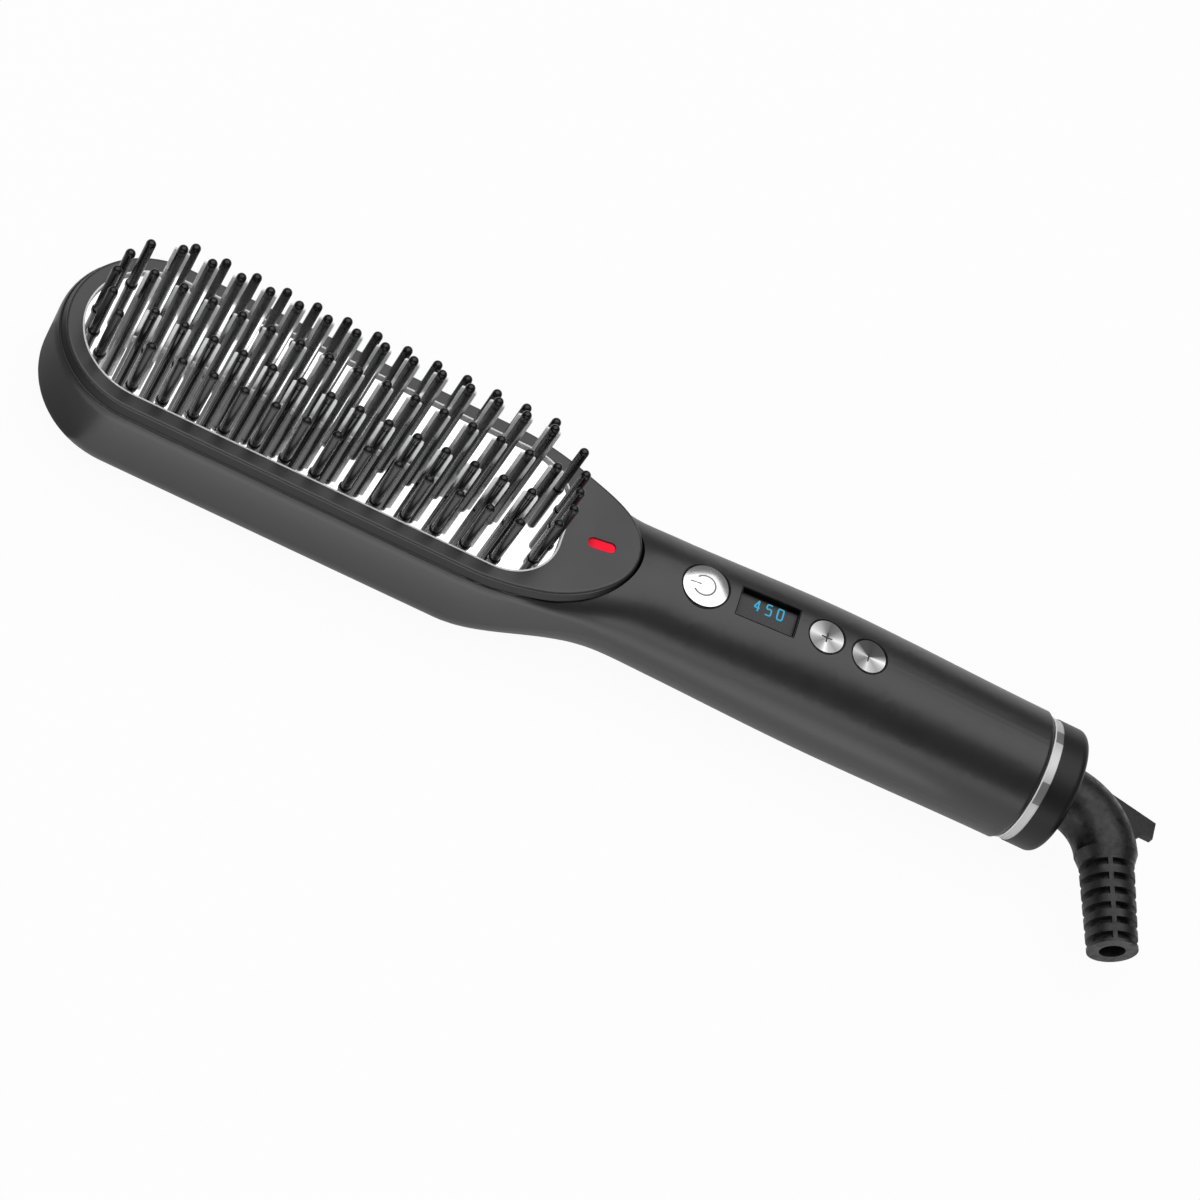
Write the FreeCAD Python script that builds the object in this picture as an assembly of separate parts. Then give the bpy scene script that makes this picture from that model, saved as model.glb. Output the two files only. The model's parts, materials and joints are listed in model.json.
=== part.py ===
import FreeCAD, Part
import math
import os

from FreeCAD import Rotation, Vector

# A heated hair straightening comb, lying on its back with the teeth up.
# X runs from the head to the handle, Y across and Z up, in millimetres.
# The origin is on the flat back, under the middle of the head.

# Housing: the nose's centre, and runs along X
nose_x = -40.2
head_end_back = 19.1
neck_run = 41.5
belly_run = 55.0
tail_room = 20.9
rise_start = 0.4
rise_run = 24.0
grip_rise_start = 10.0
shoulder_lead = 6.0
shoulder_run = 26.0

# Housing: widths, heights and edges
head_half_width = 24.0
neck_half_width = 16.9
belly_half_width = 17.9
tail_half_width = 17.1
rim_z = 25.2
neck_rise = 6.2
grip_rise = 4.3
tail_drop = 0.7
neck_lift = 0.7
tail_lift = 0.7
axis_z = 17.8
head_edge_round = 8.0
rim_round_across = 1.0
rim_round_down = 2.6
grip_flat = 0.7
tail_round = 1.4
wall = 2.2
inner_round = 0.5
neck_steps = 9
grip_steps = 6
tail_steps = 6

# Back cover: parting plane and locating lip
part_z = 3.2
lip_gap = 0.15
lip_wall = 1.2
lip_height = 2.0

# Bezel around the heating plate
bezel_half_width = 22.4
bezel_taper_start = 1.0
bezel_taper_reach = 9.0
bezel_tip_length = 19.2
bezel_tip_reach = 17.1
bezel_above_plate = 1.0
bezel_rise = 4.0
bezel_round = 0.8
groove_gap = 0.7
curve_steps = 10

# Opening, heating plate and its seat
opening_half_width = 18.5
opening_corner = 14.2
plate_z = 27.0
plate_thick = 2.0
plate_overlap = 1.2
plate_gap = 0.2
lip_clear = 0.05
gasket_thick = 1.0
seat_width = 4.2
ledge_under_z = 21.0

# Bristles and teeth
edge_inset = 2.8
edge_start_back = 1.2
edge_pitch = 7.92
edge_end_room = 13.9
nose_pin_step_deg = 22.5
nose_pin_pairs = 2
end_pin_angles_deg = (5.0, 37.0)
pin_radius = 1.22
pin_height = 17.6
pin_clear = 0.03
collar_radius = 1.55
collar_height = 0.45
tooth_start_back = 3.9
tooth_pitch = 7.47
tooth_row_gap = 9.95
tooth_end_room = 14.0
core_radius = 1.2
core_height = 22.65
core_groove_drop = 2.6
core_groove_width = 0.35
core_groove_depth = 0.2
fin_half_width = 1.95
fin_thick = 0.6
fin_drop = 0.6
fin_corner = 0.5

# Heater under the plate
heater_nose_room = 6.2
heater_end_room = 13.6
heater_length = 88.0
heater_half_width = 10.0
heater_thick = 2.2
clamp_margin = 3.4
clamp_half_width = 14.5
clamp_thick = 1.2
mica_thick = 0.8
clamp_post_y = 12.7
clamp_post_radius = 2.2
clamp_post_inset = 8.0
sensor_end_room = 29.0
sensor_length = 7.0
sensor_half_width = 2.0
sensor_gap = 0.4
fuse_start = 22.0
fuse_length = 11.0
fuse_radius = 1.9
shield_start = 4.0
shield_length = 80.0
shield_half_width = 14.0
shield_thick = 0.8
shield_z = 13.6
shield_post_radius = 2.2
shield_post_inset = 8.0

# Status light in the bezel
light_tip_room = 9.8
light_length = 7.0
light_width = 3.0
light_sunk = 0.5
light_clear = 0.1
light_board_length = 10.0
light_board_width = 8.0
light_board_thick = 1.2
light_chip_length = 3.0
light_chip_width = 1.8
light_chip_height = 0.8

# Circuit board in the grip
board_lead = 10.0
board_length = 85.0
board_half_width = 10.5
board_z = 21.4
board_thick = 1.6
board_boss_radius = 2.2
board_boss_y = 8.2
board_boss_inset = 4.0
board_boss_after = 6.2
capacitor_gap = 2.0
capacitor_length = 12.0
capacitor_width = 7.0
capacitor_height = 5.5
capacitor_y = -2.7
triac_gap = 4.0
triac_length = 10.0
triac_width = 4.5
triac_height = 5.5
triac_y = 3.9
terminal_inset = 7.0
terminal_length = 6.6
terminal_width = 14.0
terminal_height = 5.0

# Display
display_gap = 3.05
display_length = 15.2
display_width = 8.3
display_sunk = 2.1
lens_clear = 0.1
lens_flange = 0.6
lens_flange_thick = 0.6
module_length = 17.2
module_width = 9.6
module_height = 6.0

# Push buttons
power_gap = 17.2
power_radius = 5.8
plus_gap = 3.54
minus_gap = 2.76
small_radius = 4.45
button_gap = 0.22
button_proud = -0.35
power_dome = 0.75
small_dish = 0.35
button_travel = 0.6
collar_depth = 3.8
collar_wall = 1.2
button_seat_gap = 0.05
flange_wall = 0.95
flange_thick = 0.9
stem_radius = 2.2
stem_gap = 0.2
switch_size = 6.0
switch_height = 2.5
plunger_radius = 1.5
plunger_height = 0.4

# Screws
screw_recess_share = 0.55
screw_slot_share = 0.22
housing_screw_radius = 1.1
housing_head_radius = 2.4
housing_head_height = 1.4
housing_screw_length = 9.5
housing_head_sunk = 0.3
small_screw_radius = 0.9
small_head_radius = 1.7
small_head_height = 1.1
small_screw_bite = 3.2
clamp_screw_bite = 2.6
bezel_screw_bite = 2.2
screw_clear = 0.02
hole_clear = 0.2
boss_radius = 2.8
head_boss_front = 12.2
head_boss_back = 6.5
head_boss_y = 17.2
neck_boss_inset = 1.2
tail_boss_gap = 5.0
bezel_screw_gap = 5.4
bezel_screw_y = 9.5

# Leads
lead_radius = 0.8
lead_bend = 3.0
heater_lead_y = 4.0
heater_lead_out = 6.0
heater_lead_z = 10.5
heater_lead_inset = 5.0
mains_lead_y = 4.6

# Trim ring, end cap and cord swivel
ring_radius = 16.45
ring_width = 2.5
cap_radius = 16.65
cap_length = 7.8
cap_round = 2.2
cap_wall = 2.5
spigot_radius = 14.5
spigot_wall = 2.0
spigot_length = 9.0
spigot_clear = 0.15
bush_radius = 8.0
bush_wall = 1.65
bush_flange = 1.5
bush_flange_thick = 1.2
swivel_gap = 0.3
hub_flange_radius = 9.0
hub_flange_thick = 2.3
hub_bite = 3.0
hub_bore = 3.2
swivel_plate_thick = 2.0
swivel_plate_clear = 0.1
contact_radius = 1.2
contact_length = 4.0
boot_root_radius = 8.4
boot_root_length = 0.9
boot_radius = 8.0
boot_neck_radius = 7.0
boot_end_radius = 6.45
boot_bend = 15.6
boot_bend_deg = 74.0
boot_length = 26.0
boot_bore = 3.3
boot_shoulder = 3.0
rib_first = 3.6
rib_pitch = 3.95
rib_count = 6
rib_slot = 1.9
rib_depth = 1.9
rib_web = 1.1
rib_web_turn_deg = 21.0
tab_root_reach = 7.1
tab_root_y = 7.2
tab_reach = 25.9
tab_end_y = 3.7
tab_end_width = 4.9
tab_notch = 2.9
tab_thick = 2.0

# One overrun for every cut, and a side for the boxes that split the model
overrun = 1.0
big = 400.0

quarter_arc_weight = math.sqrt(1 / 2)
half_turn_deg = 180.0
up = Vector(0, 0, 1)
along = Vector(1, 0, 0)

# Places along X, each from the piece that it follows
heater_x = nose_x + heater_nose_room
heater_end_x = heater_x + heater_length
sensor_x = heater_end_x - sensor_end_room
fuse_x = heater_x + fuse_start
shield_x = heater_x + shield_start
opening_end_x = heater_end_x + heater_end_room
edge_start_x = nose_x - edge_start_back
edge_count = 1 + int((opening_end_x - edge_end_room - edge_start_x) / edge_pitch)
tooth_start_x = nose_x - tooth_start_back
tooth_count = 1 + int((opening_end_x - tooth_end_room - tooth_start_x) / tooth_pitch)
head_end_x = opening_end_x - head_end_back
head_boss_xs = (nose_x + head_boss_front, head_end_x - head_boss_back)
neck_x = head_end_x + neck_run
rise_x = opening_end_x + rise_start
rise_end_x = rise_x + rise_run
grip_rise_x = rise_x + grip_rise_start
shoulder_x = rise_x - shoulder_lead
shoulder_end_x = shoulder_x + shoulder_run
bezel_taper_x = head_end_x + bezel_taper_start
bezel_tip_x = opening_end_x + bezel_tip_length
bezel_screw_x = opening_end_x + bezel_screw_gap
light_x = bezel_tip_x - light_tip_room
neck_boss_x = bezel_tip_x - neck_boss_inset
power_x = bezel_tip_x + power_gap
display_x = power_x + power_radius + display_gap + display_length / 2
plus_x = display_x + display_length / 2 + plus_gap + small_radius
minus_x = plus_x + 2 * small_radius + minus_gap
board_x = power_x - board_lead
board_end_x = board_x + board_length
board_boss_xs = (board_x + board_boss_inset, minus_x + board_boss_after)
terminal_x = board_end_x - terminal_inset
capacitor_x = terminal_x - capacitor_gap - capacitor_length
triac_x = terminal_x - triac_gap - triac_length
heater_lead_drop_x = heater_end_x + heater_lead_out
heater_lead_rise_x = board_x + heater_lead_inset
tail_boss_x = board_end_x + tail_boss_gap
tail_x = board_end_x + tail_room
belly_x = neck_x + belly_run

# Levels that follow from the sizes above
plate_under_z = plate_z - plate_thick
gasket_under_z = plate_under_z - gasket_thick
heater_under_z = plate_under_z - heater_thick
clamp_under_z = heater_under_z - clamp_thick
mica_under_z = clamp_under_z - mica_thick
bezel_thick = plate_z + bezel_above_plate - gasket_under_z
floor_inset = wall + lip_gap + lip_wall
board_top_z = board_z + board_thick
plunger_top_z = board_top_z + switch_height + plunger_height
cap_x = tail_x + ring_width
cap_end_x = cap_x + cap_length


def smooth(x, start, end):
    """Ease from 0 at start to 1 at end, level at both."""
    t = min(max((x - start) / (end - start), 0), 1)
    return t * t * (3 - 2 * t)


def blend(a, b, share):
    return a + (b - a) * share


def half_width(x):
    width = blend(head_half_width, neck_half_width, smooth(x, head_end_x, neck_x))
    width += (belly_half_width - neck_half_width) * smooth(x, neck_x, belly_x)
    return width - (belly_half_width - tail_half_width) * smooth(x, belly_x, tail_x)


def crest(x):
    """Height of the top line of the housing."""
    height = rim_z + neck_rise * smooth(x, rise_x, rise_end_x)
    height += grip_rise * smooth(x, grip_rise_x, belly_x)
    return height - tail_drop * smooth(x, belly_x, tail_x)


def bezel_top(x):
    """Height of the top of the bezel, which rises with the neck."""
    return plate_z + bezel_above_plate + bezel_rise * smooth(x, rise_x, rise_end_x)


def keel(x):
    """Height of the bottom line of the housing."""
    lift = neck_lift * (smooth(x, head_end_x, neck_x) - smooth(x, neck_x, belly_x))
    return lift + tail_lift * smooth(x, belly_x, tail_x)


def crest_slope_deg(x):
    rise = crest(x + overrun) - crest(x - overrun)
    return math.degrees(math.atan2(rise, 2 * overrun))


def lower_round(x):
    share = smooth(x, head_end_x, neck_x)
    across = blend(head_edge_round, half_width(x) - grip_flat, share)
    return across, blend(head_edge_round, axis_z - keel(x) - grip_flat, share)


def upper_round(x):
    share = smooth(x, shoulder_x, shoulder_end_x)
    across = blend(rim_round_across, half_width(x) - grip_flat, share)
    return across, blend(rim_round_down, crest(x) - axis_z - grip_flat, share)


def line(a, b):
    return Part.makeLine(a, b)


def quarter(start, corner, end):
    """A quarter of an ellipse between two tangent lines."""
    curve = Part.BezierCurve()
    curve.setPoles([start, corner, end])
    curve.setWeight(2, quarter_arc_weight)
    return curve.toShape()


def side_edges(x, inset, side):
    """The half of a cross section on one side, from the keel up to the crest."""
    width = half_width(x) - inset
    low = keel(x) + inset
    top = crest(x) - inset
    low_y, low_z = [max(r - inset, inner_round) for r in lower_round(x)]
    top_y, top_z = [max(r - inset, inner_round) for r in upper_round(x)]

    def at(y, z):
        return Vector(x, side * y, z)

    return [
        line(at(0, low), at(width - low_y, low)),
        quarter(at(width - low_y, low), at(width, low), at(width, low + low_z)),
        line(at(width, low + low_z), at(width, top - top_z)),
        quarter(at(width, top - top_z), at(width, top), at(width - top_y, top)),
        line(at(width - top_y, top), at(0, top)),
    ]


def section(x, inset):
    far = side_edges(x, inset, 1)
    near = side_edges(x, inset, -1)
    return Part.Wire(Part.__sortEdges__(far + near))


def stations():
    """Places of the cross sections behind the head."""
    places = [blend(head_end_x, neck_x, i / neck_steps) for i in range(neck_steps)]
    places += [blend(neck_x, belly_x, i / grip_steps) for i in range(grip_steps)]
    return places + [blend(belly_x, tail_x, i / tail_steps) for i in range(tail_steps + 1)]


def body(inset):
    """The whole outer form, or the same form set in by a wall."""
    half = side_edges(nose_x, inset, 1)
    spine = line(Vector(nose_x, 0, crest(nose_x) - inset), Vector(nose_x, 0, keel(nose_x) + inset))
    half_face = Part.Face(Part.Wire(half + [spine]))
    nose = half_face.revolve(Vector(nose_x, 0, 0), up, half_turn_deg)
    head = Part.Face(section(nose_x, inset)).extrude(along * (head_end_x - nose_x))
    grip = Part.makeLoft([section(x, inset) for x in stations()], True, False)
    return nose.fuse([head, grip]).removeSplitter()


def block(x0, x1, y0, y1, z0, z1):
    return Part.makeBox(x1 - x0, y1 - y0, z1 - z0, Vector(x0, y0, z0))


def post(x, y, z0, z1, radius):
    return Part.makeCylinder(radius, z1 - z0, Vector(x, y, z0))


def axle(x0, x1, radius, y=0, z=axis_z):
    return Part.makeCylinder(radius, x1 - x0, Vector(x0, y, z), along)


def prism(wire, z0, z1):
    face = Part.Face(wire)
    face.translate(up * z0)
    return face.extrude(up * (z1 - z0))


def nose_arc(radius):
    far = Vector(nose_x, radius, 0)
    near = Vector(nose_x, -radius, 0)
    return Part.Arc(far, Vector(nose_x - radius, 0, 0), near).toShape()


def bezel_wire(grow):
    """Plan of the bezel: round at the nose, drawn to a blunt tip over the neck."""
    w = bezel_half_width + grow
    tip = bezel_tip_x + grow

    def flank(side):
        curve = Part.BezierCurve()
        curve.setPoles([
            Vector(bezel_taper_x, side * w, 0),
            Vector(bezel_taper_x + bezel_taper_reach, side * w, 0),
            Vector(tip, side * bezel_tip_reach, 0),
            Vector(tip, 0, 0),
        ])
        return curve.toShape()

    edges = [
        nose_arc(w),
        line(Vector(nose_x, -w, 0), Vector(bezel_taper_x, -w, 0)),
        flank(-1),
        flank(1),
        line(Vector(bezel_taper_x, w, 0), Vector(nose_x, w, 0)),
    ]
    return Part.Wire(Part.__sortEdges__(edges))


def opening_wire(grow):
    """Plan of the opening: round at the nose, with two rounded corners at the other end."""
    w = opening_half_width + grow
    end = opening_end_x + grow
    r = opening_corner + grow
    bow = r * (1 - quarter_arc_weight)

    def corner(side):
        start = Vector(end - r, side * w, 0)
        middle = Vector(end - bow, side * (w - bow), 0)
        return Part.Arc(start, middle, Vector(end, side * (w - r), 0)).toShape()

    edges = [
        nose_arc(w),
        line(Vector(nose_x, -w, 0), Vector(end - r, -w, 0)),
        corner(-1),
        line(Vector(end, r - w, 0), Vector(end, w - r, 0)),
        corner(1),
        line(Vector(end - r, w, 0), Vector(nose_x, w, 0)),
    ]
    return Part.Wire(Part.__sortEdges__(edges))


def bezel_band(low, high):
    """A slab that follows the top of the bezel, from low to high above it."""
    x0 = nose_x - bezel_half_width - overrun - groove_gap
    x1 = bezel_tip_x + groove_gap + overrun
    xs = [blend(rise_x, x1, i / curve_steps) for i in range(curve_steps + 1)]
    y = -head_half_width

    def edge_pair(offset):
        points = [Vector(x, y, bezel_top(x) + offset) for x in xs]
        rise = bezel_top(x1) - bezel_top(x1 - overrun)
        curve = Part.BSplineCurve()
        curve.interpolate(Points=points, InitialTangent=along, FinalTangent=Vector(overrun, 0, rise))
        start = Vector(x0, y, bezel_top(x0) + offset)
        return [line(start, points[0]), curve.toShape()], points[-1], start

    under, under_end, under_start = edge_pair(low)
    over, over_end, over_start = edge_pair(high)
    edges = under + over + [line(under_end, over_end), line(under_start, over_start)]
    face = Part.Face(Part.Wire(Part.__sortEdges__(edges)))
    return face.extrude(Vector(0, 2 * head_half_width, 0))


def slot_wire(x, length, width):
    """A stadium along X."""
    r = width / 2
    reach = length / 2 - r
    right = Part.Arc(Vector(x + reach, -r, 0), Vector(x + reach + r, 0, 0), Vector(x + reach, r, 0))
    left = Part.Arc(Vector(x - reach, r, 0), Vector(x - reach - r, 0, 0), Vector(x - reach, -r, 0))
    edges = [
        right.toShape(),
        line(Vector(x + reach, r, 0), Vector(x - reach, r, 0)),
        left.toShape(),
        line(Vector(x - reach, -r, 0), Vector(x + reach, -r, 0)),
    ]
    return Part.Wire(edges)


def on_crest(shape, x):
    """Place a shape made at the origin on the crest, leaning with its slope."""
    shape = shape.copy()
    lean = Rotation(Vector(0, 1, 0), -crest_slope_deg(x))
    shape.Placement = FreeCAD.Placement(Vector(x, 0, crest(x)), lean)
    return shape


def screw(x, y, z, shank, head, head_height, length):
    """A screw driven upwards, with the underside of its head at z."""
    body_ = post(x, y, z, z + length, shank).fuse(post(x, y, z - head_height, z, head))
    reach = head * screw_recess_share
    slot = head * screw_slot_share
    deep = z - head_height + head_height * screw_recess_share
    low = z - head_height - overrun
    for long_x, long_y in ((reach, slot), (slot, reach)):
        body_ = body_.cut(block(x - long_x, x + long_x, y - long_y, y + long_y, low, deep))
    return body_


def lead(points):
    """A round lead through points, with the same bend at each corner."""
    edges = []
    start = points[0]
    for i in range(1, len(points) - 1):
        back = (points[i - 1] - points[i]).normalize()
        ahead = (points[i + 1] - points[i]).normalize()
        turn = back.getAngle(ahead)
        reach = lead_bend / math.tan(turn / 2)
        enter = points[i] + back * reach
        leave = points[i] + ahead * reach
        inward = (back + ahead).normalize()
        middle = points[i] + inward * (lead_bend / math.sin(turn / 2) - lead_bend)
        edges += [line(start, enter), Part.Arc(enter, middle, leave).toShape()]
        start = leave
    edges.append(line(start, points[-1]))
    profile = Part.Wire(Part.makeCircle(lead_radius, points[0], points[1] - points[0]))
    return Part.Wire(edges).makePipeShell([profile], True, False)


# Places shared by several pieces
def edge_places():
    """Plain pins along the sides and round both ends of the opening."""
    y = opening_half_width - edge_inset
    places = [(edge_start_x + i * edge_pitch, side * y) for i in range(edge_count) for side in (-1, 1)]
    places.append((nose_x - y, 0))
    for step in range(1, nose_pin_pairs + 1):
        angle = math.radians(step * nose_pin_step_deg)
        for side in (-1, 1):
            places.append((nose_x - y * math.cos(angle), side * y * math.sin(angle)))
    places.append((opening_end_x - edge_inset, 0))
    r = opening_corner - edge_inset
    for degrees in end_pin_angles_deg:
        angle = math.radians(degrees)
        x = opening_end_x - opening_corner + r * math.cos(angle)
        across = opening_half_width - opening_corner + r * math.sin(angle)
        places += [(x, -across), (x, across)]
    return places


def tooth_places():
    """Three rows of tall teeth; the middle row is half a pitch off and has one more."""
    places = []
    for row in (-1, 0, 1):
        extra = 1 if row == 0 else 0
        start = tooth_start_x - extra * tooth_pitch / 2
        places += [(start + i * tooth_pitch, row * tooth_row_gap) for i in range(tooth_count + extra)]
    return places


def copies(shape, places):
    made = []
    for x, y in places:
        piece = shape.copy()
        piece.translate(Vector(x, y, 0))
        made.append(piece)
    return made


def clamp_post_places():
    left = heater_x + clamp_post_inset
    right = heater_end_x - clamp_post_inset
    return [(x, side * clamp_post_y) for x in (left, right) for side in (-1, 1)]


def head_boss_places():
    return [(x, side * head_boss_y) for x in head_boss_xs for side in (-1, 1)]


def board_boss_places():
    return [(x, side * board_boss_y) for x in board_boss_xs for side in (-1, 1)]


def bezel_screw_places():
    return [(bezel_screw_x, side * bezel_screw_y) for side in (-1, 1)]


def shield_post_places():
    y = shield_half_width - shield_post_radius
    left = shield_x + shield_post_inset
    right = shield_x + shield_length - shield_post_inset
    return [(x, side * y) for x in (left, right) for side in (-1, 1)]


def housing_screw_places():
    return head_boss_places() + [(neck_boss_x, 0), (tail_boss_x, 0)]


buttons = {
    "power_button": (power_x, power_radius),
    "plus_button": (plus_x, small_radius),
    "minus_button": (minus_x, small_radius),
}


# Housing shells
def tail_rounder():
    """What is turned off the end of the housing to round its edge."""
    start = tail_x - tail_round
    end = tail_x + overrun
    inner = tail_half_width - tail_round
    ring = axle(start, end, tail_half_width + overrun).cut(axle(start, end, inner))
    return ring.cut(Part.makeTorus(inner, tail_round, Vector(start, 0, axis_z), along))


def inner_posts():
    """Screw bosses and button guides inside the main housing."""
    posts = []
    for x, y in housing_screw_places():
        posts.append(post(x, y, keel(x) + floor_inset, crest(x), boss_radius))
    for x, y in board_boss_places():
        posts.append(post(x, y, board_top_z, crest(x), board_boss_radius))
    for x, radius in buttons.values():
        outside = radius + button_gap + collar_wall
        posts.append(on_crest(post(0, 0, -collar_depth, 0, outside), x))
    return posts


def screw_holes():
    """Pilot holes and clearance holes in the main housing."""
    holes = []
    for x, y in housing_screw_places():
        reach = housing_head_sunk + housing_head_height + housing_screw_length + overrun
        holes.append(post(x, y, 0, keel(x) + reach, housing_screw_radius + screw_clear))
    for x, y in board_boss_places():
        top_z = board_top_z + small_screw_bite + overrun
        holes.append(post(x, y, board_z, top_z, small_screw_radius + screw_clear))
    for x, y in bezel_screw_places():
        holes.append(post(x, y, ledge_under_z - overrun, bezel_top(x), small_screw_radius + hole_clear))
    return holes


def top_openings():
    """The pocket for the bezel and the plate, and the holes for the light, the buttons and the display."""
    cuts = [prism(bezel_wire(groove_gap), part_z, big).common(bezel_band(-bezel_thick, big / 2))]
    cuts.append(prism(opening_wire(plate_overlap + plate_gap), gasket_under_z, plate_z))
    cuts.append(prism(opening_wire(plate_overlap - seat_width), ledge_under_z - overrun, plate_z))
    cuts.append(prism(slot_wire(light_x, light_length, light_width), ledge_under_z - overrun, big))
    for x, radius in buttons.values():
        hole = post(0, 0, -collar_depth - overrun, collar_depth, radius + button_gap)
        cuts.append(on_crest(hole, x))
    reach = display_length / 2
    across = display_width / 2
    cuts.append(on_crest(block(-reach, reach, -across, across, -2 * wall, 2 * wall), display_x))
    return cuts


def main_housing(outer, middle, cavity):
    above = block(-big, big, -big, big, part_z, big)
    x_split = bezel_tip_x + groove_gap + wall
    ledge = block(-big, x_split, -big, big, ledge_under_z, big)
    shell = outer.common(above).cut(cavity.cut(ledge))
    shell = shell.fuse([p.common(middle) for p in inner_posts()])
    spigot = axle(tail_x - spigot_length, tail_x + overrun, spigot_radius + spigot_clear)
    return shell.cut(top_openings() + screw_holes() + [spigot, tail_rounder()])


def back_cover(outer, lip, hollow):
    below = block(-big, big, -big, big, -big, part_z)
    rim = block(-big, big, -big, big, -big, part_z + lip_height)
    cover = outer.common(below).fuse(lip.common(rim)).cut(hollow)
    cover = cover.fuse([post(x, y, wall, shield_z, shield_post_radius) for x, y in shield_post_places()])
    cuts = [axle(tail_x - spigot_length, tail_x + overrun, spigot_radius + spigot_clear), tail_rounder()]
    for x, y in housing_screw_places():
        seat_z = keel(x) + housing_head_sunk + housing_head_height
        through_z = keel(x) + floor_inset + overrun
        cuts.append(post(x, y, -overrun, through_z, housing_screw_radius + hole_clear))
        cuts.append(post(x, y, -overrun, seat_z, housing_head_radius + hole_clear))
        cuts.append(post(x, y, keel(x) + floor_inset, big, boss_radius + lip_gap))
    return cover.cut(cuts)


def bezel_edges(bezel):
    """The outer top edges of the bezel, without the line where its two top faces meet."""
    edges = []
    for edge in bezel.Edges:
        ends = [edge.valueAt(edge.FirstParameter), edge.valueAt(edge.LastParameter)]
        middle = edge.valueAt((edge.FirstParameter + edge.LastParameter) / 2)
        on_top = all(abs(p.z - bezel_top(p.x)) < lip_clear for p in ends + [middle])
        seam = abs(middle.y) < lip_clear and abs(ends[0].y) > lip_clear and middle.x > 0
        if on_top and not seam:
            edges.append(edge)
    return edges


def bezel_frame():
    bezel = prism(bezel_wire(0), part_z, big).common(bezel_band(-bezel_thick, 0))
    bezel = bezel.makeFillet(bezel_round, bezel_edges(bezel))
    cuts = [prism(opening_wire(0), 0, big)]
    cuts.append(prism(opening_wire(plate_overlap + plate_gap), 0, plate_z + lip_clear))
    cuts.append(prism(slot_wire(light_x, light_length, light_width), 0, big))
    for x, y in bezel_screw_places():
        tip_z = bezel_top(x) - bezel_thick + bezel_screw_bite + lip_clear
        cuts.append(post(x, y, 0, tip_z, small_screw_radius + screw_clear))
    return bezel.cut(cuts)


# Heating plate with its bristles and teeth
def edge_pin():
    tip_z = plate_z + pin_height
    pin = post(0, 0, plate_under_z, tip_z, pin_radius)
    pin = pin.fuse(Part.makeSphere(pin_radius, Vector(0, 0, tip_z)))
    return pin.fuse(post(0, 0, plate_z, plate_z + collar_height, collar_radius)).removeSplitter()


def heat_fin(grow):
    """A thin metal blade that runs through a core and ends below its tip."""
    w = fin_half_width + grow
    y = fin_thick / 2 + grow
    top = plate_z + core_height - fin_drop + grow
    blade = block(-w, w, -y, y, plate_under_z, top)
    corners = [edge for edge in blade.Edges if edge.BoundBox.ZMin > plate_z and edge.BoundBox.XLength < w]
    return blade.makeFillet(fin_corner, corners)


def tooth_core():
    """A round core with a ring under its tip and a slot that takes the blade."""
    tip_z = plate_z + core_height
    core = post(0, 0, plate_z, tip_z, core_radius).fuse(Part.makeSphere(core_radius, Vector(0, 0, tip_z)))
    top = tip_z + core_radius - core_groove_drop
    ring = post(0, 0, top - core_groove_width, top, core_radius + overrun)
    ring = ring.cut(post(0, 0, top - core_groove_width, top, core_radius - core_groove_depth))
    return core.removeSplitter().cut([ring, heat_fin(pin_clear)])


def heating_plate():
    plate = prism(opening_wire(plate_overlap), plate_under_z, plate_z)
    posts = [post(x, y, heater_under_z, plate_under_z, clamp_post_radius) for x, y in clamp_post_places()]
    plate = plate.fuse(posts)
    hole = post(0, 0, plate_under_z - overrun, plate_z + overrun, pin_radius + pin_clear)
    w = fin_half_width + pin_clear
    y = fin_thick / 2 + pin_clear
    slot = block(-w, w, -y, y, plate_under_z - overrun, plate_z + overrun)
    cuts = copies(hole, edge_places()) + copies(slot, tooth_places())
    pilot = small_screw_radius + screw_clear
    top_z = heater_under_z + clamp_screw_bite + lip_clear
    cuts += [post(x, y, heater_under_z - overrun, top_z, pilot) for x, y in clamp_post_places()]
    return plate.cut(cuts)


def plate_gasket():
    outside = prism(opening_wire(plate_overlap), gasket_under_z, plate_under_z)
    return outside.cut(prism(opening_wire(plate_overlap - seat_width), gasket_under_z, plate_under_z))


# Heater stack
def ceramic_heater():
    y = heater_half_width
    return block(heater_x, heater_end_x, -y, y, heater_under_z, plate_under_z)


def clamp_sheet(z0, z1):
    """A sheet under the heater with four screw holes and a window for the sensor."""
    x0 = heater_x - clamp_margin
    x1 = heater_end_x + clamp_margin
    sheet = block(x0, x1, -clamp_half_width, clamp_half_width, z0, z1)
    reach = sensor_length / 2 + sensor_gap
    across = sensor_half_width + sensor_gap
    window = block(sensor_x - reach, sensor_x + reach, -across, across, z0 - overrun, z1 + overrun)
    hole = post(0, 0, z0 - overrun, z1 + overrun, small_screw_radius + hole_clear)
    return sheet.cut([window] + copies(hole, clamp_post_places()))


def thermistor():
    x0 = sensor_x - sensor_length / 2
    y = sensor_half_width
    return block(x0, x0 + sensor_length, -y, y, mica_under_z, heater_under_z)


def thermal_fuse():
    return axle(fuse_x, fuse_x + fuse_length, fuse_radius, 0, mica_under_z - fuse_radius)


def heat_shield():
    end = shield_x + shield_length
    return block(shield_x, end, -shield_half_width, shield_half_width, shield_z, shield_z + shield_thick)


# Status light
def led_window():
    chip_top = ledge_under_z + light_chip_height
    wire = slot_wire(light_x, light_length - 2 * light_clear, light_width - 2 * light_clear)
    return prism(wire, chip_top, big).common(bezel_band(-big / 2, -light_sunk))


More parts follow.
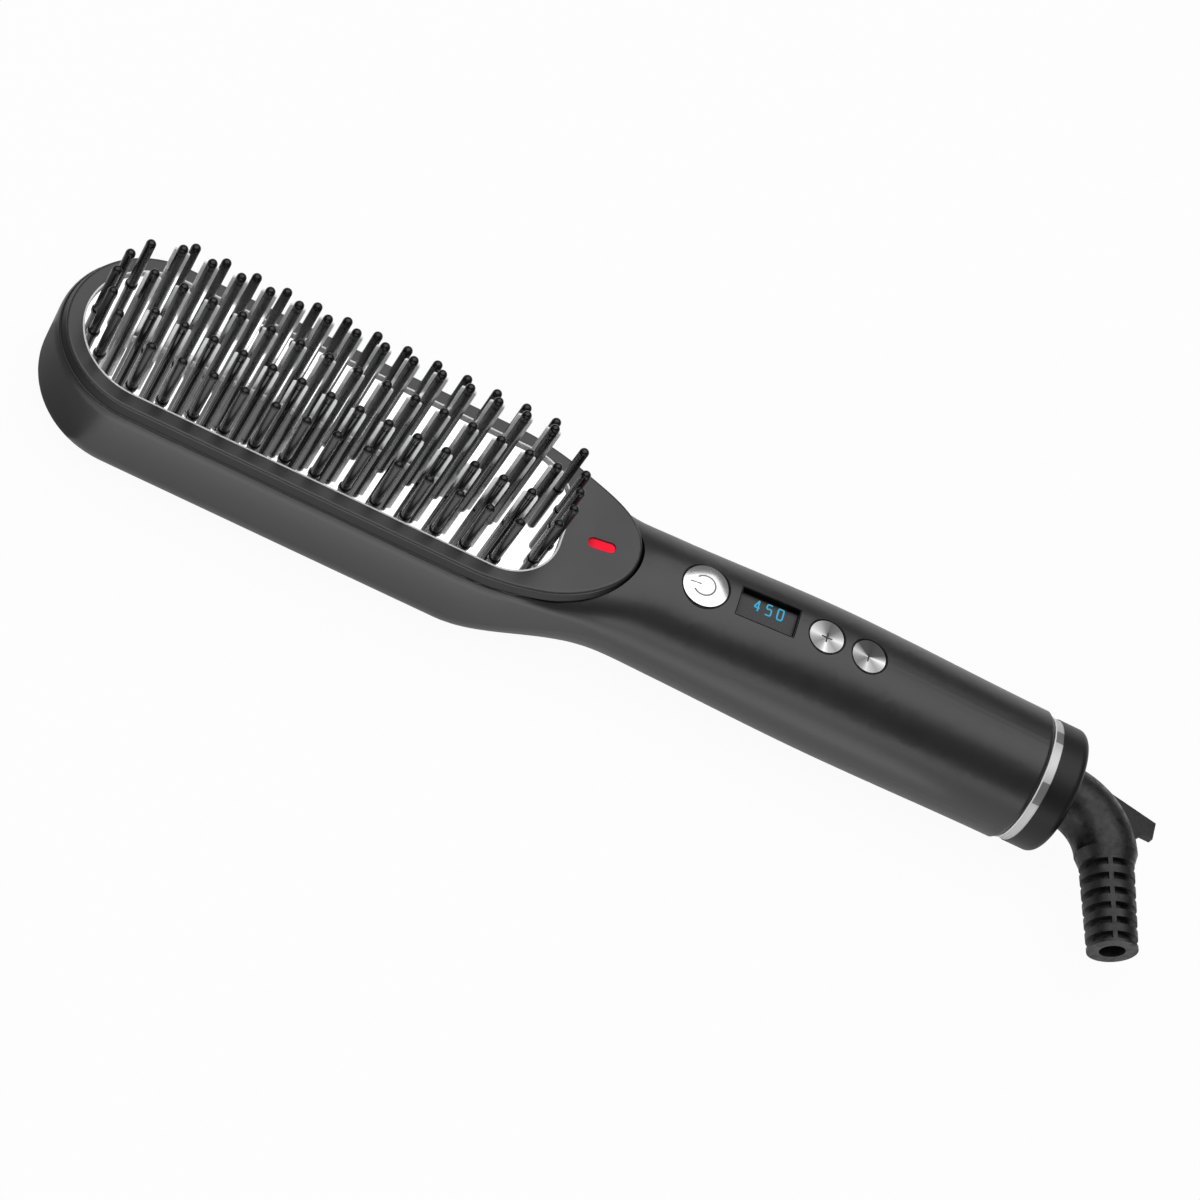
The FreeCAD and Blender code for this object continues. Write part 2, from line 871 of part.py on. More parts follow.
def led_board():
    x0 = light_x - light_board_length / 2
    y = light_board_width / 2
    board = block(x0, x0 + light_board_length, -y, y, ledge_under_z - light_board_thick, ledge_under_z)
    reach = light_chip_length / 2
    across = light_chip_width / 2
    chip_top = ledge_under_z + light_chip_height
    return board.fuse(block(light_x - reach, light_x + reach, -across, across, ledge_under_z, chip_top))


# Circuit board and what is on it
def control_board():
    y = board_half_width
    board = block(board_x, board_end_x, -y, y, board_z, board_top_z)
    hole = post(0, 0, board_z - overrun, board_top_z + overrun, small_screw_radius + hole_clear)
    return board.cut(copies(hole, board_boss_places()))


def on_board(x, length, y, width, height):
    return block(x, x + length, y - width / 2, y + width / 2, board_top_z, board_top_z + height)


def under_board(x, length, y, width, height):
    return block(x, x + length, y - width / 2, y + width / 2, board_z - height, board_z)


def display_module():
    return on_board(display_x - module_length / 2, module_length, 0, module_width, module_height)


def display_lens():
    low = board_top_z + module_height
    reach = display_length / 2 - lens_clear
    across = display_width / 2 - lens_clear
    window = block(-reach, reach, -across, across, -big / 2, -display_sunk)
    window = on_crest(window, display_x).common(block(0, big, -big, big, low, big))
    reach += lens_flange
    across += lens_flange
    flange = block(display_x - reach, display_x + reach, -across, across, low, low + lens_flange_thick)
    return window.fuse(flange).removeSplitter()


def tact_switch(x):
    half = switch_size / 2
    switch = block(x - half, x + half, -half, half, board_top_z, board_top_z + switch_height)
    return switch.fuse(post(x, 0, board_top_z + switch_height, plunger_top_z, plunger_radius))


# Push buttons
def button_top(radius, dome, dish):
    """A cap made at the origin, domed or dished on top, with its flange below the housing wall."""
    seat = -collar_depth - button_seat_gap
    cap = Part.makeCylinder(radius, button_proud - seat, Vector(0, 0, seat))
    if dome:
        ball = (radius * radius + dome * dome) / (2 * dome)
        sphere = Part.makeSphere(ball, Vector(0, 0, button_proud + dome - ball))
        tall = Part.makeCylinder(radius, button_proud + dome - seat, Vector(0, 0, seat))
        cap = tall.common(sphere.fuse(cap))
    if dish:
        cap = cap.cut(Part.makeCone(0, radius, dish, Vector(0, 0, button_proud - dish)))
    flange = Part.makeCylinder(radius + flange_wall, flange_thick, Vector(0, 0, seat - flange_thick))
    return cap.fuse(flange)


def push_button(x, radius, dome, dish):
    top = on_crest(button_top(radius, dome, dish), x)
    low = plunger_top_z + button_travel + stem_gap
    seat = crest(x) - collar_depth - flange_thick / 2
    return top.fuse(post(x, 0, low, seat, stem_radius)).removeSplitter()


# Leads
def heater_lead(side):
    y = side * heater_lead_y
    level = (heater_under_z + plate_under_z) / 2
    return lead([
        Vector(heater_end_x, y, level),
        Vector(heater_lead_drop_x, y, level),
        Vector(heater_lead_drop_x, y, heater_lead_z),
        Vector(heater_lead_rise_x, y, heater_lead_z),
        Vector(heater_lead_rise_x, y, board_z),
    ])


def mains_lead(side):
    y = side * mains_lead_y
    return axle(terminal_x + terminal_length, contact_start_x, lead_radius, y)


# Trim ring, end cap and cord swivel, from the inside out
cap_inside_x = cap_end_x - cap_wall
bush_flange_x = cap_inside_x - bush_flange_thick
hub_flange_x = bush_flange_x - swivel_gap - hub_flange_thick
swivel_plate_x = hub_flange_x - swivel_gap - swivel_plate_thick
contact_start_x = hub_flange_x - swivel_gap - contact_length
bush_bore = bush_radius - bush_wall
hub_radius = bush_bore - swivel_gap
boot_x = cap_end_x + swivel_gap
bend_x = boot_x + boot_root_length
bend_turn = math.radians(boot_bend_deg)
boot_way = Vector(math.cos(bend_turn), -math.sin(bend_turn), 0)
bend_centre = Vector(bend_x, -boot_bend, axis_z)
bend_end = bend_centre + Vector(-boot_way.y, boot_way.x, 0) * boot_bend


def trim_ring():
    return axle(tail_x, cap_x, ring_radius).cut(axle(tail_x, cap_x, spigot_radius + spigot_clear))


def end_cap():
    cap = axle(cap_x, cap_end_x, cap_radius)
    rim = [e for e in cap.Edges if e.Closed and e.CenterOfMass.x > cap_end_x - lip_clear]
    cap = cap.makeFillet(cap_round, rim)
    cap = cap.fuse(axle(tail_x - spigot_length, cap_x, spigot_radius))
    inside = axle(tail_x - spigot_length - overrun, cap_inside_x, spigot_radius - spigot_wall)
    return cap.cut([inside, axle(cap_inside_x - overrun, cap_end_x + overrun, bush_radius + screw_clear)])


def swivel_bush():
    bush = axle(cap_inside_x, cap_end_x, bush_radius)
    bush = bush.fuse(axle(bush_flange_x, cap_inside_x, bush_radius + bush_flange))
    return bush.cut(axle(bush_flange_x - overrun, cap_end_x + overrun, bush_bore))


def swivel_plate():
    radius = spigot_radius - spigot_wall - swivel_plate_clear
    plate = axle(swivel_plate_x, swivel_plate_x + swivel_plate_thick, radius)
    for side in (-1, 1):
        y = side * mains_lead_y
        plate = plate.cut(axle(swivel_plate_x - overrun, hub_flange_x, contact_radius + screw_clear, y))
    return plate


def swivel_contact(side):
    return axle(contact_start_x, contact_start_x + contact_length, contact_radius, side * mains_lead_y)


def swivel_hub():
    hub = axle(hub_flange_x, hub_flange_x + hub_flange_thick, hub_flange_radius)
    hub = hub.fuse(axle(hub_flange_x + hub_flange_thick, boot_x + hub_bite, hub_radius))
    return hub.cut(axle(hub_flange_x + hub_flange_thick, boot_x + hub_bite + overrun, hub_bore))


def elbow(radius):
    """A round bar bent in the plane of the back, from along the handle towards the near side."""
    disc = Part.Face(Part.Wire(Part.makeCircle(radius, Vector(bend_x, 0, axis_z), along)))
    return disc.revolve(bend_centre, up, -boot_bend_deg)


def boot_sleeve():
    """The straight end of the boot: a shoulder, then ribs between slots that a web crosses on two sides."""
    neck = bend_end + boot_way * boot_shoulder
    run = boot_length - boot_shoulder
    sleeve = Part.makeCone(boot_neck_radius, boot_end_radius, run, neck, boot_way)
    sleeve = sleeve.fuse(Part.makeCone(boot_radius, boot_neck_radius, boot_shoulder, bend_end, boot_way))
    for i in range(rib_count):
        down = rib_first + i * rib_pitch
        place = bend_end + boot_way * down
        floor = blend(boot_neck_radius, boot_end_radius, (down - boot_shoulder) / run) - rib_depth
        ring = Part.makeCylinder(boot_radius, rib_slot, place, boot_way)
        sleeve = sleeve.cut(ring.cut([Part.makeCylinder(floor, rib_slot, place, boot_way), rib_web_strip()]))
    return sleeve


def rib_web_strip():
    """A strip along the boot that keeps the slots from running all the way round."""
    aside = Vector(-boot_way.y, boot_way.x, 0) * (rib_web / 2)
    root = Vector(bend_end.x, bend_end.y, 0)
    tip = root + boot_way * boot_length
    strip = Part.makePolygon([root + aside, tip + aside, tip - aside, root - aside, root + aside])
    web = prism(strip, axis_z - boot_radius - overrun, axis_z + boot_radius + overrun)
    web.rotate(bend_end, boot_way, rib_web_turn_deg)
    return web


def hang_tab():
    """A flat tab that carries on in line with the handle from the elbow."""
    tip = bend_x + tab_reach
    low_y = tab_end_y - tab_end_width
    points = [
        Vector(bend_x + tab_root_reach, tab_root_y, 0),
        Vector(tip, tab_end_y, 0),
        Vector(tip, low_y, 0),
        Vector(tip - tab_notch, low_y, 0),
        Vector(bend_end.x, bend_end.y, 0),
        Vector(bend_x, 0, 0),
    ]
    low = axis_z - tab_thick / 2
    return prism(Part.makePolygon(points + points[:1]), low, low + tab_thick)


def cord_boot():
    root = Part.makeCone(boot_root_radius, boot_radius, boot_root_length, Vector(boot_x, 0, axis_z), along)
    boot = root.fuse([elbow(boot_radius), boot_sleeve(), hang_tab()])
    bore = Part.makeCylinder(boot_bore, boot_length + overrun, bend_end, boot_way)
    seat = axle(boot_x - overrun, boot_x + hub_bite, hub_radius + screw_clear)
    way = axle(boot_x, bend_x, boot_bore)
    return boot.cut([bore, elbow(boot_bore), way, seat])


def small_screw(x, y, z, bite):
    return screw(x, y, z, small_screw_radius, small_head_radius, small_head_height, bite)


def screws():
    made = {}
    for i, (x, y) in enumerate(housing_screw_places(), 1):
        z = keel(x) + housing_head_sunk + housing_head_height
        made[f"housing_screw_{i}"] = screw(
            x, y, z, housing_screw_radius, housing_head_radius, housing_head_height, housing_screw_length)
    for i, (x, y) in enumerate(board_boss_places(), 1):
        made[f"board_screw_{i}"] = small_screw(x, y, board_z, board_thick + small_screw_bite)
    clamp_grip = mica_thick + clamp_thick
    for i, (x, y) in enumerate(clamp_post_places(), 1):
        made[f"clamp_screw_{i}"] = small_screw(x, y, mica_under_z, clamp_grip + clamp_screw_bite)
    bezel_grip = bezel_top(bezel_screw_x) - bezel_thick - ledge_under_z
    for i, (x, y) in enumerate(bezel_screw_places(), 1):
        made[f"bezel_screw_{i}"] = small_screw(x, y, ledge_under_z, bezel_grip + bezel_screw_bite)
    return made


def housing_pieces():
    outer = body(0)
    return {
        "main_housing": main_housing(outer, body(wall / 2), body(wall)),
        "back_cover": back_cover(outer, body(wall + lip_gap), body(floor_inset)),
        "bezel_frame": bezel_frame(),
        "led_window": led_window(),
        "led_board": led_board(),
    }


def heater_pieces():
    return {
        "plate_gasket": plate_gasket(),
        "heating_plate": heating_plate(),
        "heat_fins": Part.makeCompound(copies(heat_fin(0), tooth_places())),
        "tooth_cores": Part.makeCompound(copies(tooth_core(), tooth_places())),
        "edge_bristles": Part.makeCompound(copies(edge_pin(), edge_places())),
        "ceramic_heater": ceramic_heater(),
        "heater_clamp": clamp_sheet(clamp_under_z, heater_under_z),
        "mica_sheet": clamp_sheet(mica_under_z, clamp_under_z),
        "thermistor": thermistor(),
        "thermal_fuse": thermal_fuse(),
        "heat_shield": heat_shield(),
        "heater_lead_near": heater_lead(-1),
        "heater_lead_far": heater_lead(1),
    }


def control_pieces():
    capacitor = under_board(capacitor_x, capacitor_length, capacitor_y, capacitor_width, capacitor_height)
    terminals = under_board(terminal_x, terminal_length, 0, terminal_width, terminal_height)
    return {
        "control_board": control_board(),
        "display_module": display_module(),
        "display_lens": display_lens(),
        "power_button": push_button(power_x, power_radius, power_dome, 0),
        "plus_button": push_button(plus_x, small_radius, 0, small_dish),
        "minus_button": push_button(minus_x, small_radius, 0, small_dish),
        "power_switch": tact_switch(power_x),
        "plus_switch": tact_switch(plus_x),
        "minus_switch": tact_switch(minus_x),
        "film_capacitor": capacitor,
        "triac": under_board(triac_x, triac_length, triac_y, triac_width, triac_height),
        "terminal_block": terminals,
        "mains_lead_near": mains_lead(-1),
        "mains_lead_far": mains_lead(1),
    }


def tail_pieces():
    return {
        "trim_ring": trim_ring(),
        "end_cap": end_cap(),
        "swivel_bush": swivel_bush(),
        "swivel_plate": swivel_plate(),
        "swivel_contact_near": swivel_contact(-1),
        "swivel_contact_far": swivel_contact(1),
        "swivel_hub": swivel_hub(),
        "cord_boot": cord_boot(),
    }


pieces = {**housing_pieces(), **heater_pieces(), **control_pieces(), **tail_pieces(), **screws()}

os.makedirs("parts", exist_ok=True)
for name, shape in pieces.items():
    shape.exportStep(f"parts/{name}.step")
    box = shape.BoundBox
    size = [round(v, 1) for v in (box.XMin, box.XMax, box.YMin, box.YMax, box.ZMin, box.ZMax)]
    print(name, len(shape.Solids), shape.isValid(), round(shape.Volume), size)
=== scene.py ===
# %% [markdown]
# # A heated hair comb, dressed for its picture
#
# The comb comes from CAD as a frame of named nodes, each already in its place and in metres. This lesson keeps
# that frame as it is, gives every node a finish made of shader nodes, adds the marks and trims that are too fine
# for CAD, and lights the comb on a white table. The looks could also be painted on as images, but a finish made
# of nodes stays sharp at any distance and can be changed with one number.

# %% Load the frame
import json
import math

import bmesh
import bpy
from mathutils import Matrix, Vector
from mathutils.bvhtree import BVHTree


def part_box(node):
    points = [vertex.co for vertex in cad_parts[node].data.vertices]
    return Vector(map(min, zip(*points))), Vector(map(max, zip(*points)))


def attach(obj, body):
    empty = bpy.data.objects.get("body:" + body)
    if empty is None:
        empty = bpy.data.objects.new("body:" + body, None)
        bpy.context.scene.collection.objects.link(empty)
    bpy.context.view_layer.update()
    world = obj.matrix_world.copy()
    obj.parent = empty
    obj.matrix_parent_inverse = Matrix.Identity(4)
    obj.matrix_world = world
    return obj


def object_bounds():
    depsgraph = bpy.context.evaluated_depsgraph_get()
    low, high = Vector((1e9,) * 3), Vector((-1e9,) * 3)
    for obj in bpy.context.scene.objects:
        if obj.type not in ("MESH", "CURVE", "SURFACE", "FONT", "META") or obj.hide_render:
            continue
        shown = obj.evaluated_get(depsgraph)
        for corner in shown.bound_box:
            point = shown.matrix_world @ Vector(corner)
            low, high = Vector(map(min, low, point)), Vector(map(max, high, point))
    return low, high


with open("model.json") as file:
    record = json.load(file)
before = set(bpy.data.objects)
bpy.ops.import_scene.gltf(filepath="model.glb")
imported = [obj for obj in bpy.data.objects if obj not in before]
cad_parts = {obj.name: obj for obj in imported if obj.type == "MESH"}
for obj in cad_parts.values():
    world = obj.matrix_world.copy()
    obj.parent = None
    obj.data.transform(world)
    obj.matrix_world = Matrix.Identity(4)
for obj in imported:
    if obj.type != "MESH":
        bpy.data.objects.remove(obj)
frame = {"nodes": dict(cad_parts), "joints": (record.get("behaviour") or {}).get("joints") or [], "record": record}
nodes = frame["nodes"]
cad_low, cad_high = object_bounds()
mm = 0.001
print("nodes:", len(nodes), "size in mm:", [round(side / mm, 1) for side in cad_high - cad_low])

# %% [markdown]
# ## Camera
#
# A product picture is taken from far off with a long lens, so that the handle doesn't swell towards the viewer.
# The camera's three axes and its place were solved from corners of the comb that can be told apart in the
# picture. They go straight into the camera's matrix: turning it by hand would take many tries.


# %% Camera
def put_in_scene(name, data):
    """A new object in the scene that carries this camera, lamp or mesh."""
    made = bpy.data.objects.new(name, data)
    bpy.context.scene.collection.objects.link(made)
    return made


camera_right = Vector((0.8905, 0.2633, 0.3710)).normalized()
camera_back = camera_right.cross(Vector((-0.4230, 0.7795, 0.4621))).normalized()
camera_up = camera_back.cross(camera_right)
camera_turn = Matrix((camera_right, camera_up, camera_back)).transposed().to_4x4()
camera_place = Vector((-62.866, -502.813, 720.553)) * mm

camera = put_in_scene("camera", bpy.data.cameras.new("camera"))
camera.data.lens = 107.38
camera.data.sensor_width = 36.0
camera.matrix_world = Matrix.Translation(camera_place) @ camera_turn
bpy.context.scene.camera = camera
print("camera height in mm:", round(camera_place.z / mm))

# %% [markdown]
# ## Shader sums in Python
#
# A finish is a small sum: so much noise added to so much roughness. Blender writes such a sum as Math nodes, one
# for each sign. The class below wraps a node's output, so that the sum can be written as in any Python script
# and the nodes appear by themselves. Every other kind of node comes from one method, which sets the node up
# first and then fills or links its sockets.


# %% A socket that takes part in sums
class Wire:
    """The output of a shader node. A sum of wires and numbers adds its Math nodes."""

    def __init__(self, tree, socket=None):
        self.tree, self.socket = tree, socket

    def node(self, kind, settings=None, sockets=None, output=0):
        """Adds any node: its type, its settings, then the values or wires of its sockets."""
        made = self.tree.nodes.new(kind)
        for name, setting in (settings or {}).items():
            if name in ("stops", "steps"):
                set_stops(made.color_ramp, setting, "CONSTANT" if name == "steps" else "LINEAR")
            else:
                setattr(made, name, setting)
        fill(self.tree, made, sockets or {})
        return Wire(self.tree, pick(made.outputs, output) if made.outputs else None)

    def math(self, sign, first, second):
        return self.node("ShaderNodeMath", {"operation": sign}, {0: first, 1: second})

    def __add__(self, other):
        return self.math("ADD", self, other)

    def __radd__(self, other):
        return self.math("ADD", other, self)

    def __sub__(self, other):
        return self.math("SUBTRACT", self, other)

    def __rsub__(self, other):
        return self.math("SUBTRACT", other, self)

    def __mul__(self, other):
        return self.math("MULTIPLY", self, other)

    def __rmul__(self, other):
        return self.math("MULTIPLY", other, self)

    def __truediv__(self, other):
        return self.math("DIVIDE", self, other)

    def __rtruediv__(self, other):
        return self.math("DIVIDE", other, self)


print("signs that work on wires: + - * /")

# %% [markdown]
# The class leans on three small helpers. A socket is found by its number or by its name, because some nodes hide
# several sockets of one name and only one of them is in use. A value goes onto the socket itself, and a wire is
# linked to it. A colour ramp starts with two stops, so the missing ones are added before all of them are placed.
# Four more helpers name the nodes that come up most often: a ramp, a fade between two values, one axis of a place
# and a mix of two colours.


# %% Sockets and ramps
def pick(sockets, key):
    """A socket by its number, or the one in use that has this name."""
    return sockets[key] if isinstance(key, int) else next(s for s in sockets if s.name == key and s.enabled)


def fill(tree, node, sockets):
    for key, value in sockets.items():
        if isinstance(value, Wire):
            tree.links.new(value.socket, pick(node.inputs, key))
        else:
            pick(node.inputs, key).default_value = value


def set_stops(ramp, stops, blend):
    """A ramp's stops, from left to right, each a place and a colour."""
    ramp.interpolation = blend
    while len(ramp.elements) < len(stops):
        ramp.elements.new(0.5)
    for element, (place, colour) in zip(ramp.elements, stops):
        element.position, element.color = place, colour


def ramp(wire, stops, kind="stops"):
    """Reads a colour ramp: stops blend into each other, steps don't."""
    return wire.node("ShaderNodeValToRGB", {kind: stops}, {0: wire})


def fade(wire, begin, end, first, last):
    """Goes from the first value to the last while the wire goes from begin to end."""
    return wire.node("ShaderNodeMapRange", sockets={
        "Value": wire, "From Min": begin, "From Max": end, "To Min": first, "To Max": last})


def axis_of(place, axis):
    """One of a place's three numbers: X, Y or Z."""
    return place.node("ShaderNodeSeparateXYZ", sockets={0: place}, output=axis)


def two_colours(factor, first, second):
    sockets = {"Factor": factor, "A": first, "B": second}
    return factor.node("ShaderNodeMix", {"data_type": "RGBA"}, sockets, "Result")


print("helpers on wires: ramp, fade, axis_of, two_colours")

# %% [markdown]
# ## The table and the light
#
# The comb lies on a white table that runs out of the picture on all sides. The table's material is mostly a plain
# white glow for the eye and less of it for mirrors, and the rest is matt white, which keeps a faint shadow under
# the comb. Seen from below, the table is clear, so that the comb's back can be looked at too.

# %% White table
table_reach, table_middle_x, table_drop = 8.0, 0.08, 0.02 * mm
eye_share, mirror_share, table_white = 0.95, 0.4, 0.88


def grey(value):
    return (value, value, value, 1.0)


def empty_material(name):
    material = bpy.data.materials.new(name)
    material.use_nodes = True
    material.node_tree.nodes.clear()
    return material, Wire(material.node_tree)


def biggest(wire, *values):
    for value in values:
        wire = wire.math("MAXIMUM", wire, value)
    return wire


def table_material():
    material, start = empty_material("white_table")
    rays = ("Is Camera Ray", "Is Glossy Ray", "Is Transmission Ray")
    eye, mirror, glass = [start.node("ShaderNodeLightPath", output=ray) for ray in rays]
    share = biggest(eye * eye_share, mirror * mirror_share, glass * eye_share)
    matt = start.node("ShaderNodeBsdfDiffuse", sockets={"Color": grey(table_white)})
    glow = start.node("ShaderNodeEmission", sockets={"Color": grey(1.0), "Strength": 1.0})
    top = start.node("ShaderNodeMixShader", sockets={0: share, 1: matt, 2: glow})
    below = start.node("ShaderNodeNewGeometry", output="Backfacing")
    clear = start.node("ShaderNodeBsdfTransparent")
    both = start.node("ShaderNodeMixShader", sockets={0: below, 1: top, 2: clear})
    start.node("ShaderNodeOutputMaterial", sockets={"Surface": both})
    return material


def mesh_of(sheet, name):
    """Turns a bmesh into a mesh and frees it."""
    mesh = bpy.data.meshes.new(name)
    sheet.to_mesh(mesh)
    sheet.free()
    return mesh


def white_table():
    sheet = bmesh.new()
    bmesh.ops.create_circle(sheet, cap_ends=True, segments=96, radius=table_reach)
    table = put_in_scene("white_table", mesh_of(sheet, "white_table"))
    table.location = (table_middle_x, 0.0, cad_low.z - table_drop)
    table.data.materials.append(table_material())
    table.active_material.cycles.emission_sampling = "NONE"
    return table


table_z = white_table().location.z
print("table at z in mm:", round(table_z / mm, 2))

# %% [markdown]
# Matt black plastic has hardly any colour of its own: what the eye sees on it is the reflection of the room.
# So the light is three soft boxes with dark room between them. A large one hangs overhead and lays a broad pale
# band along the top, a low one on the near side draws the side wall, and a thin one on the far side lights the
# far edge. A card that lies on the table in front of the comb throws light up the near wall. A lamp's power is
# worked out from the brightness that its face should have, which is easier to judge than watts.

# %% Soft boxes
aim = Vector((60.0, 0.0, 20.0)) * mm
card_place = Vector((0.05, -0.085, cad_low.z + 0.2 * mm))
above_card = Vector((card_place.x, card_place.y, 1.0))


def softbox(name, place, width, height, brightness, target=aim):
    lamp = bpy.data.lights.new(name, "AREA")
    lamp.shape = "RECTANGLE"
    lamp.size, lamp.size_y = width, height
    lamp.energy = brightness * math.pi * width * height
    box = put_in_scene(name, lamp)
    box.location = place
    box.rotation_euler = (target - Vector(place)).to_track_quat("-Z", "Y").to_euler()
    box.visible_camera = False
    return box


boxes = [
    softbox("top_box", (-0.04, 0.15, 1.06), width=1.8, height=1.44, brightness=1.45),
    softbox("near_box", (0.02, -1.00, 0.19), width=1.3, height=0.34, brightness=1.6),
    softbox("far_box", (0.10, 1.05, 0.13), width=1.6, height=0.20, brightness=0.6),
    softbox("front_card", card_place, width=0.28, height=0.09, brightness=0.76, target=above_card),
]
print("lamps in watts:", [round(box.data.energy, 1) for box in boxes])

# %% [markdown]
# The room between the boxes isn't quite black. Its grey rises a little towards the ceiling, so the dark bands
# that it leaves on the handle keep some depth. It could be a picture of a real studio, but a ramp read by the
# height of each direction is enough. Colours are shown as they are written, without a film look on top.

# %% Dim room
room_low, room_high = 0.12, 0.16


def dim_room():
    room = bpy.data.worlds.new("dim_room")
    room.use_nodes = True
    room.node_tree.nodes.clear()
    start = Wire(room.node_tree)
    height = axis_of(start.node("ShaderNodeTexCoord", output="Generated"), "Z")
    shade = ramp(height, [(0.0, grey(room_low)), (1.0, grey(room_high))])
    light = start.node("ShaderNodeBackground", sockets={"Color": shade, "Strength": 1.0})
    start.node("ShaderNodeOutputWorld", sockets={"Surface": light})
    return room


bpy.context.scene.world = dim_room()
bpy.context.scene.view_settings.view_transform = "Standard"
print("room greys:", room_low, "to", room_high)

# %% [markdown]
# The round nose of the comb would mirror the white table and look flat. A grey cloth on the table beside the
# nose, which only reflections see, keeps it dark enough to show that it is round.

# %% Grey cloth beside the nose
cloth_size, cloth_place = (0.19, 0.15, 1.0), Vector((-0.145, -0.065, table_z + 0.01 * mm))
weave_scale, weave_dark, weave_pale = 900.0, 0.34, 0.42


def cloth_material():
    material, start = empty_material("grey_cloth")
    weave = start.node("ShaderNodeTexNoise", sockets={"Scale": weave_scale})
    tint = two_colours(weave, grey(weave_dark), grey(weave_pale))
    matt = start.node("ShaderNodeBsdfDiffuse", sockets={"Color": tint})
    start.node("ShaderNodeOutputMaterial", sockets={"Surface": matt})
    return material


def grey_cloth():
    sheet = bmesh.new()
    bmesh.ops.create_grid(sheet, x_segments=8, y_segments=8, size=0.5)
    bmesh.ops.scale(sheet, vec=cloth_size, verts=sheet.verts)
    cloth = put_in_scene("grey_cloth", mesh_of(sheet, "grey_cloth"))
    cloth.location = cloth_place
    cloth.visible_camera = cloth.visible_diffuse = cloth.visible_shadow = False
    cloth.data.materials.append(cloth_material())
    return cloth


print("cloth corners:", len(grey_cloth().data.vertices))

# %% [markdown]
# ## Finishes
#
# Every finish starts from the same shader. Its steady numbers are set on the shader itself, and only what changes
# over the surface comes through wires. Colours are written as they look on a screen and turned into light values
# by the screen's own curve, which is straight in the darkest tones and a power above them.


# %% Starting a finish
def screen(red, green, blue):
    """A colour as a screen shows it, from 0 to 255, as light."""
    steps = [value / 255 for value in (red, green, blue)]
    return tuple(s / 12.92 if s < 0.04045 else ((s + 0.055) / 1.055) ** 2.4 for s in steps) + (1.0,)


def start_finish(name, steady):
    """A new material, the shader's steady numbers set, and the place on the object as a wire."""
    material = bpy.data.materials.new(name)
    material.use_nodes = True
    shader = material.node_tree.nodes["Principled BSDF"]
    fill(material.node_tree, shader, steady)
    place = Wire(material.node_tree).node("ShaderNodeTexCoord", output="Object")
    return material, place


def end_finish(material, wires):
    """Links what changes over the surface to the shader."""
    fill(material.node_tree, material.node_tree.nodes["Principled BSDF"], wires)
    return material


def speckle(place, size):
    """Noise between 0 and 1 whose patches are about this many metres across."""
    return place.node("ShaderNodeTexNoise", sockets={"Vector": place, "Scale": 1 / size, "Detail": 2.0})


def bumps(height, depth, strength):
    return height.node("ShaderNodeBump", sockets={"Height": height, "Distance": depth, "Strength": strength})


print("grey that a screen shows as 60:", round(screen(60, 60, 60)[0], 4))

# %% [markdown]
# Most pieces are moulded or cut from one material, so one recipe serves for all of them: two close colours mixed
# by a broad noise, a roughness that wanders a little, and a fine grain that stands up by a small part of a
# millimetre. Only the numbers differ: soft paint on the shell is even and silky, rubber is coarse and dull.


# %% One recipe for plain finishes
def plain_finish(name, dark, pale, rough, grain, depth, steady=None, patch=6.0, wander=0.08):
    """Colours as light, lengths in millimetres."""
    material, place = start_finish(name, steady or {})
    fine = speckle(place, grain * mm)
    broad = speckle(place, patch * mm)
    return end_finish(material, {
        "Base Color": two_colours(broad, dark, pale),
        "Roughness": rough + (fine + broad - 1.0) * wander,
        "Normal": bumps(fine, depth * mm, strength=0.35),
    })


def from_recipe(name, dark, pale, rough, grain, depth, more):
    """A plain finish whose two colours are given as a screen shows them."""
    return plain_finish(name, screen(*dark), screen(*pale), rough, grain, depth, **more)


metal, silky = {"steady": {"Metallic": 1.0}}, {"steady": {"Specular IOR Level": 0.75}}
smooth, coarse = {"wander": 0.03}, {"patch": 3.2, "wander": 0.45}
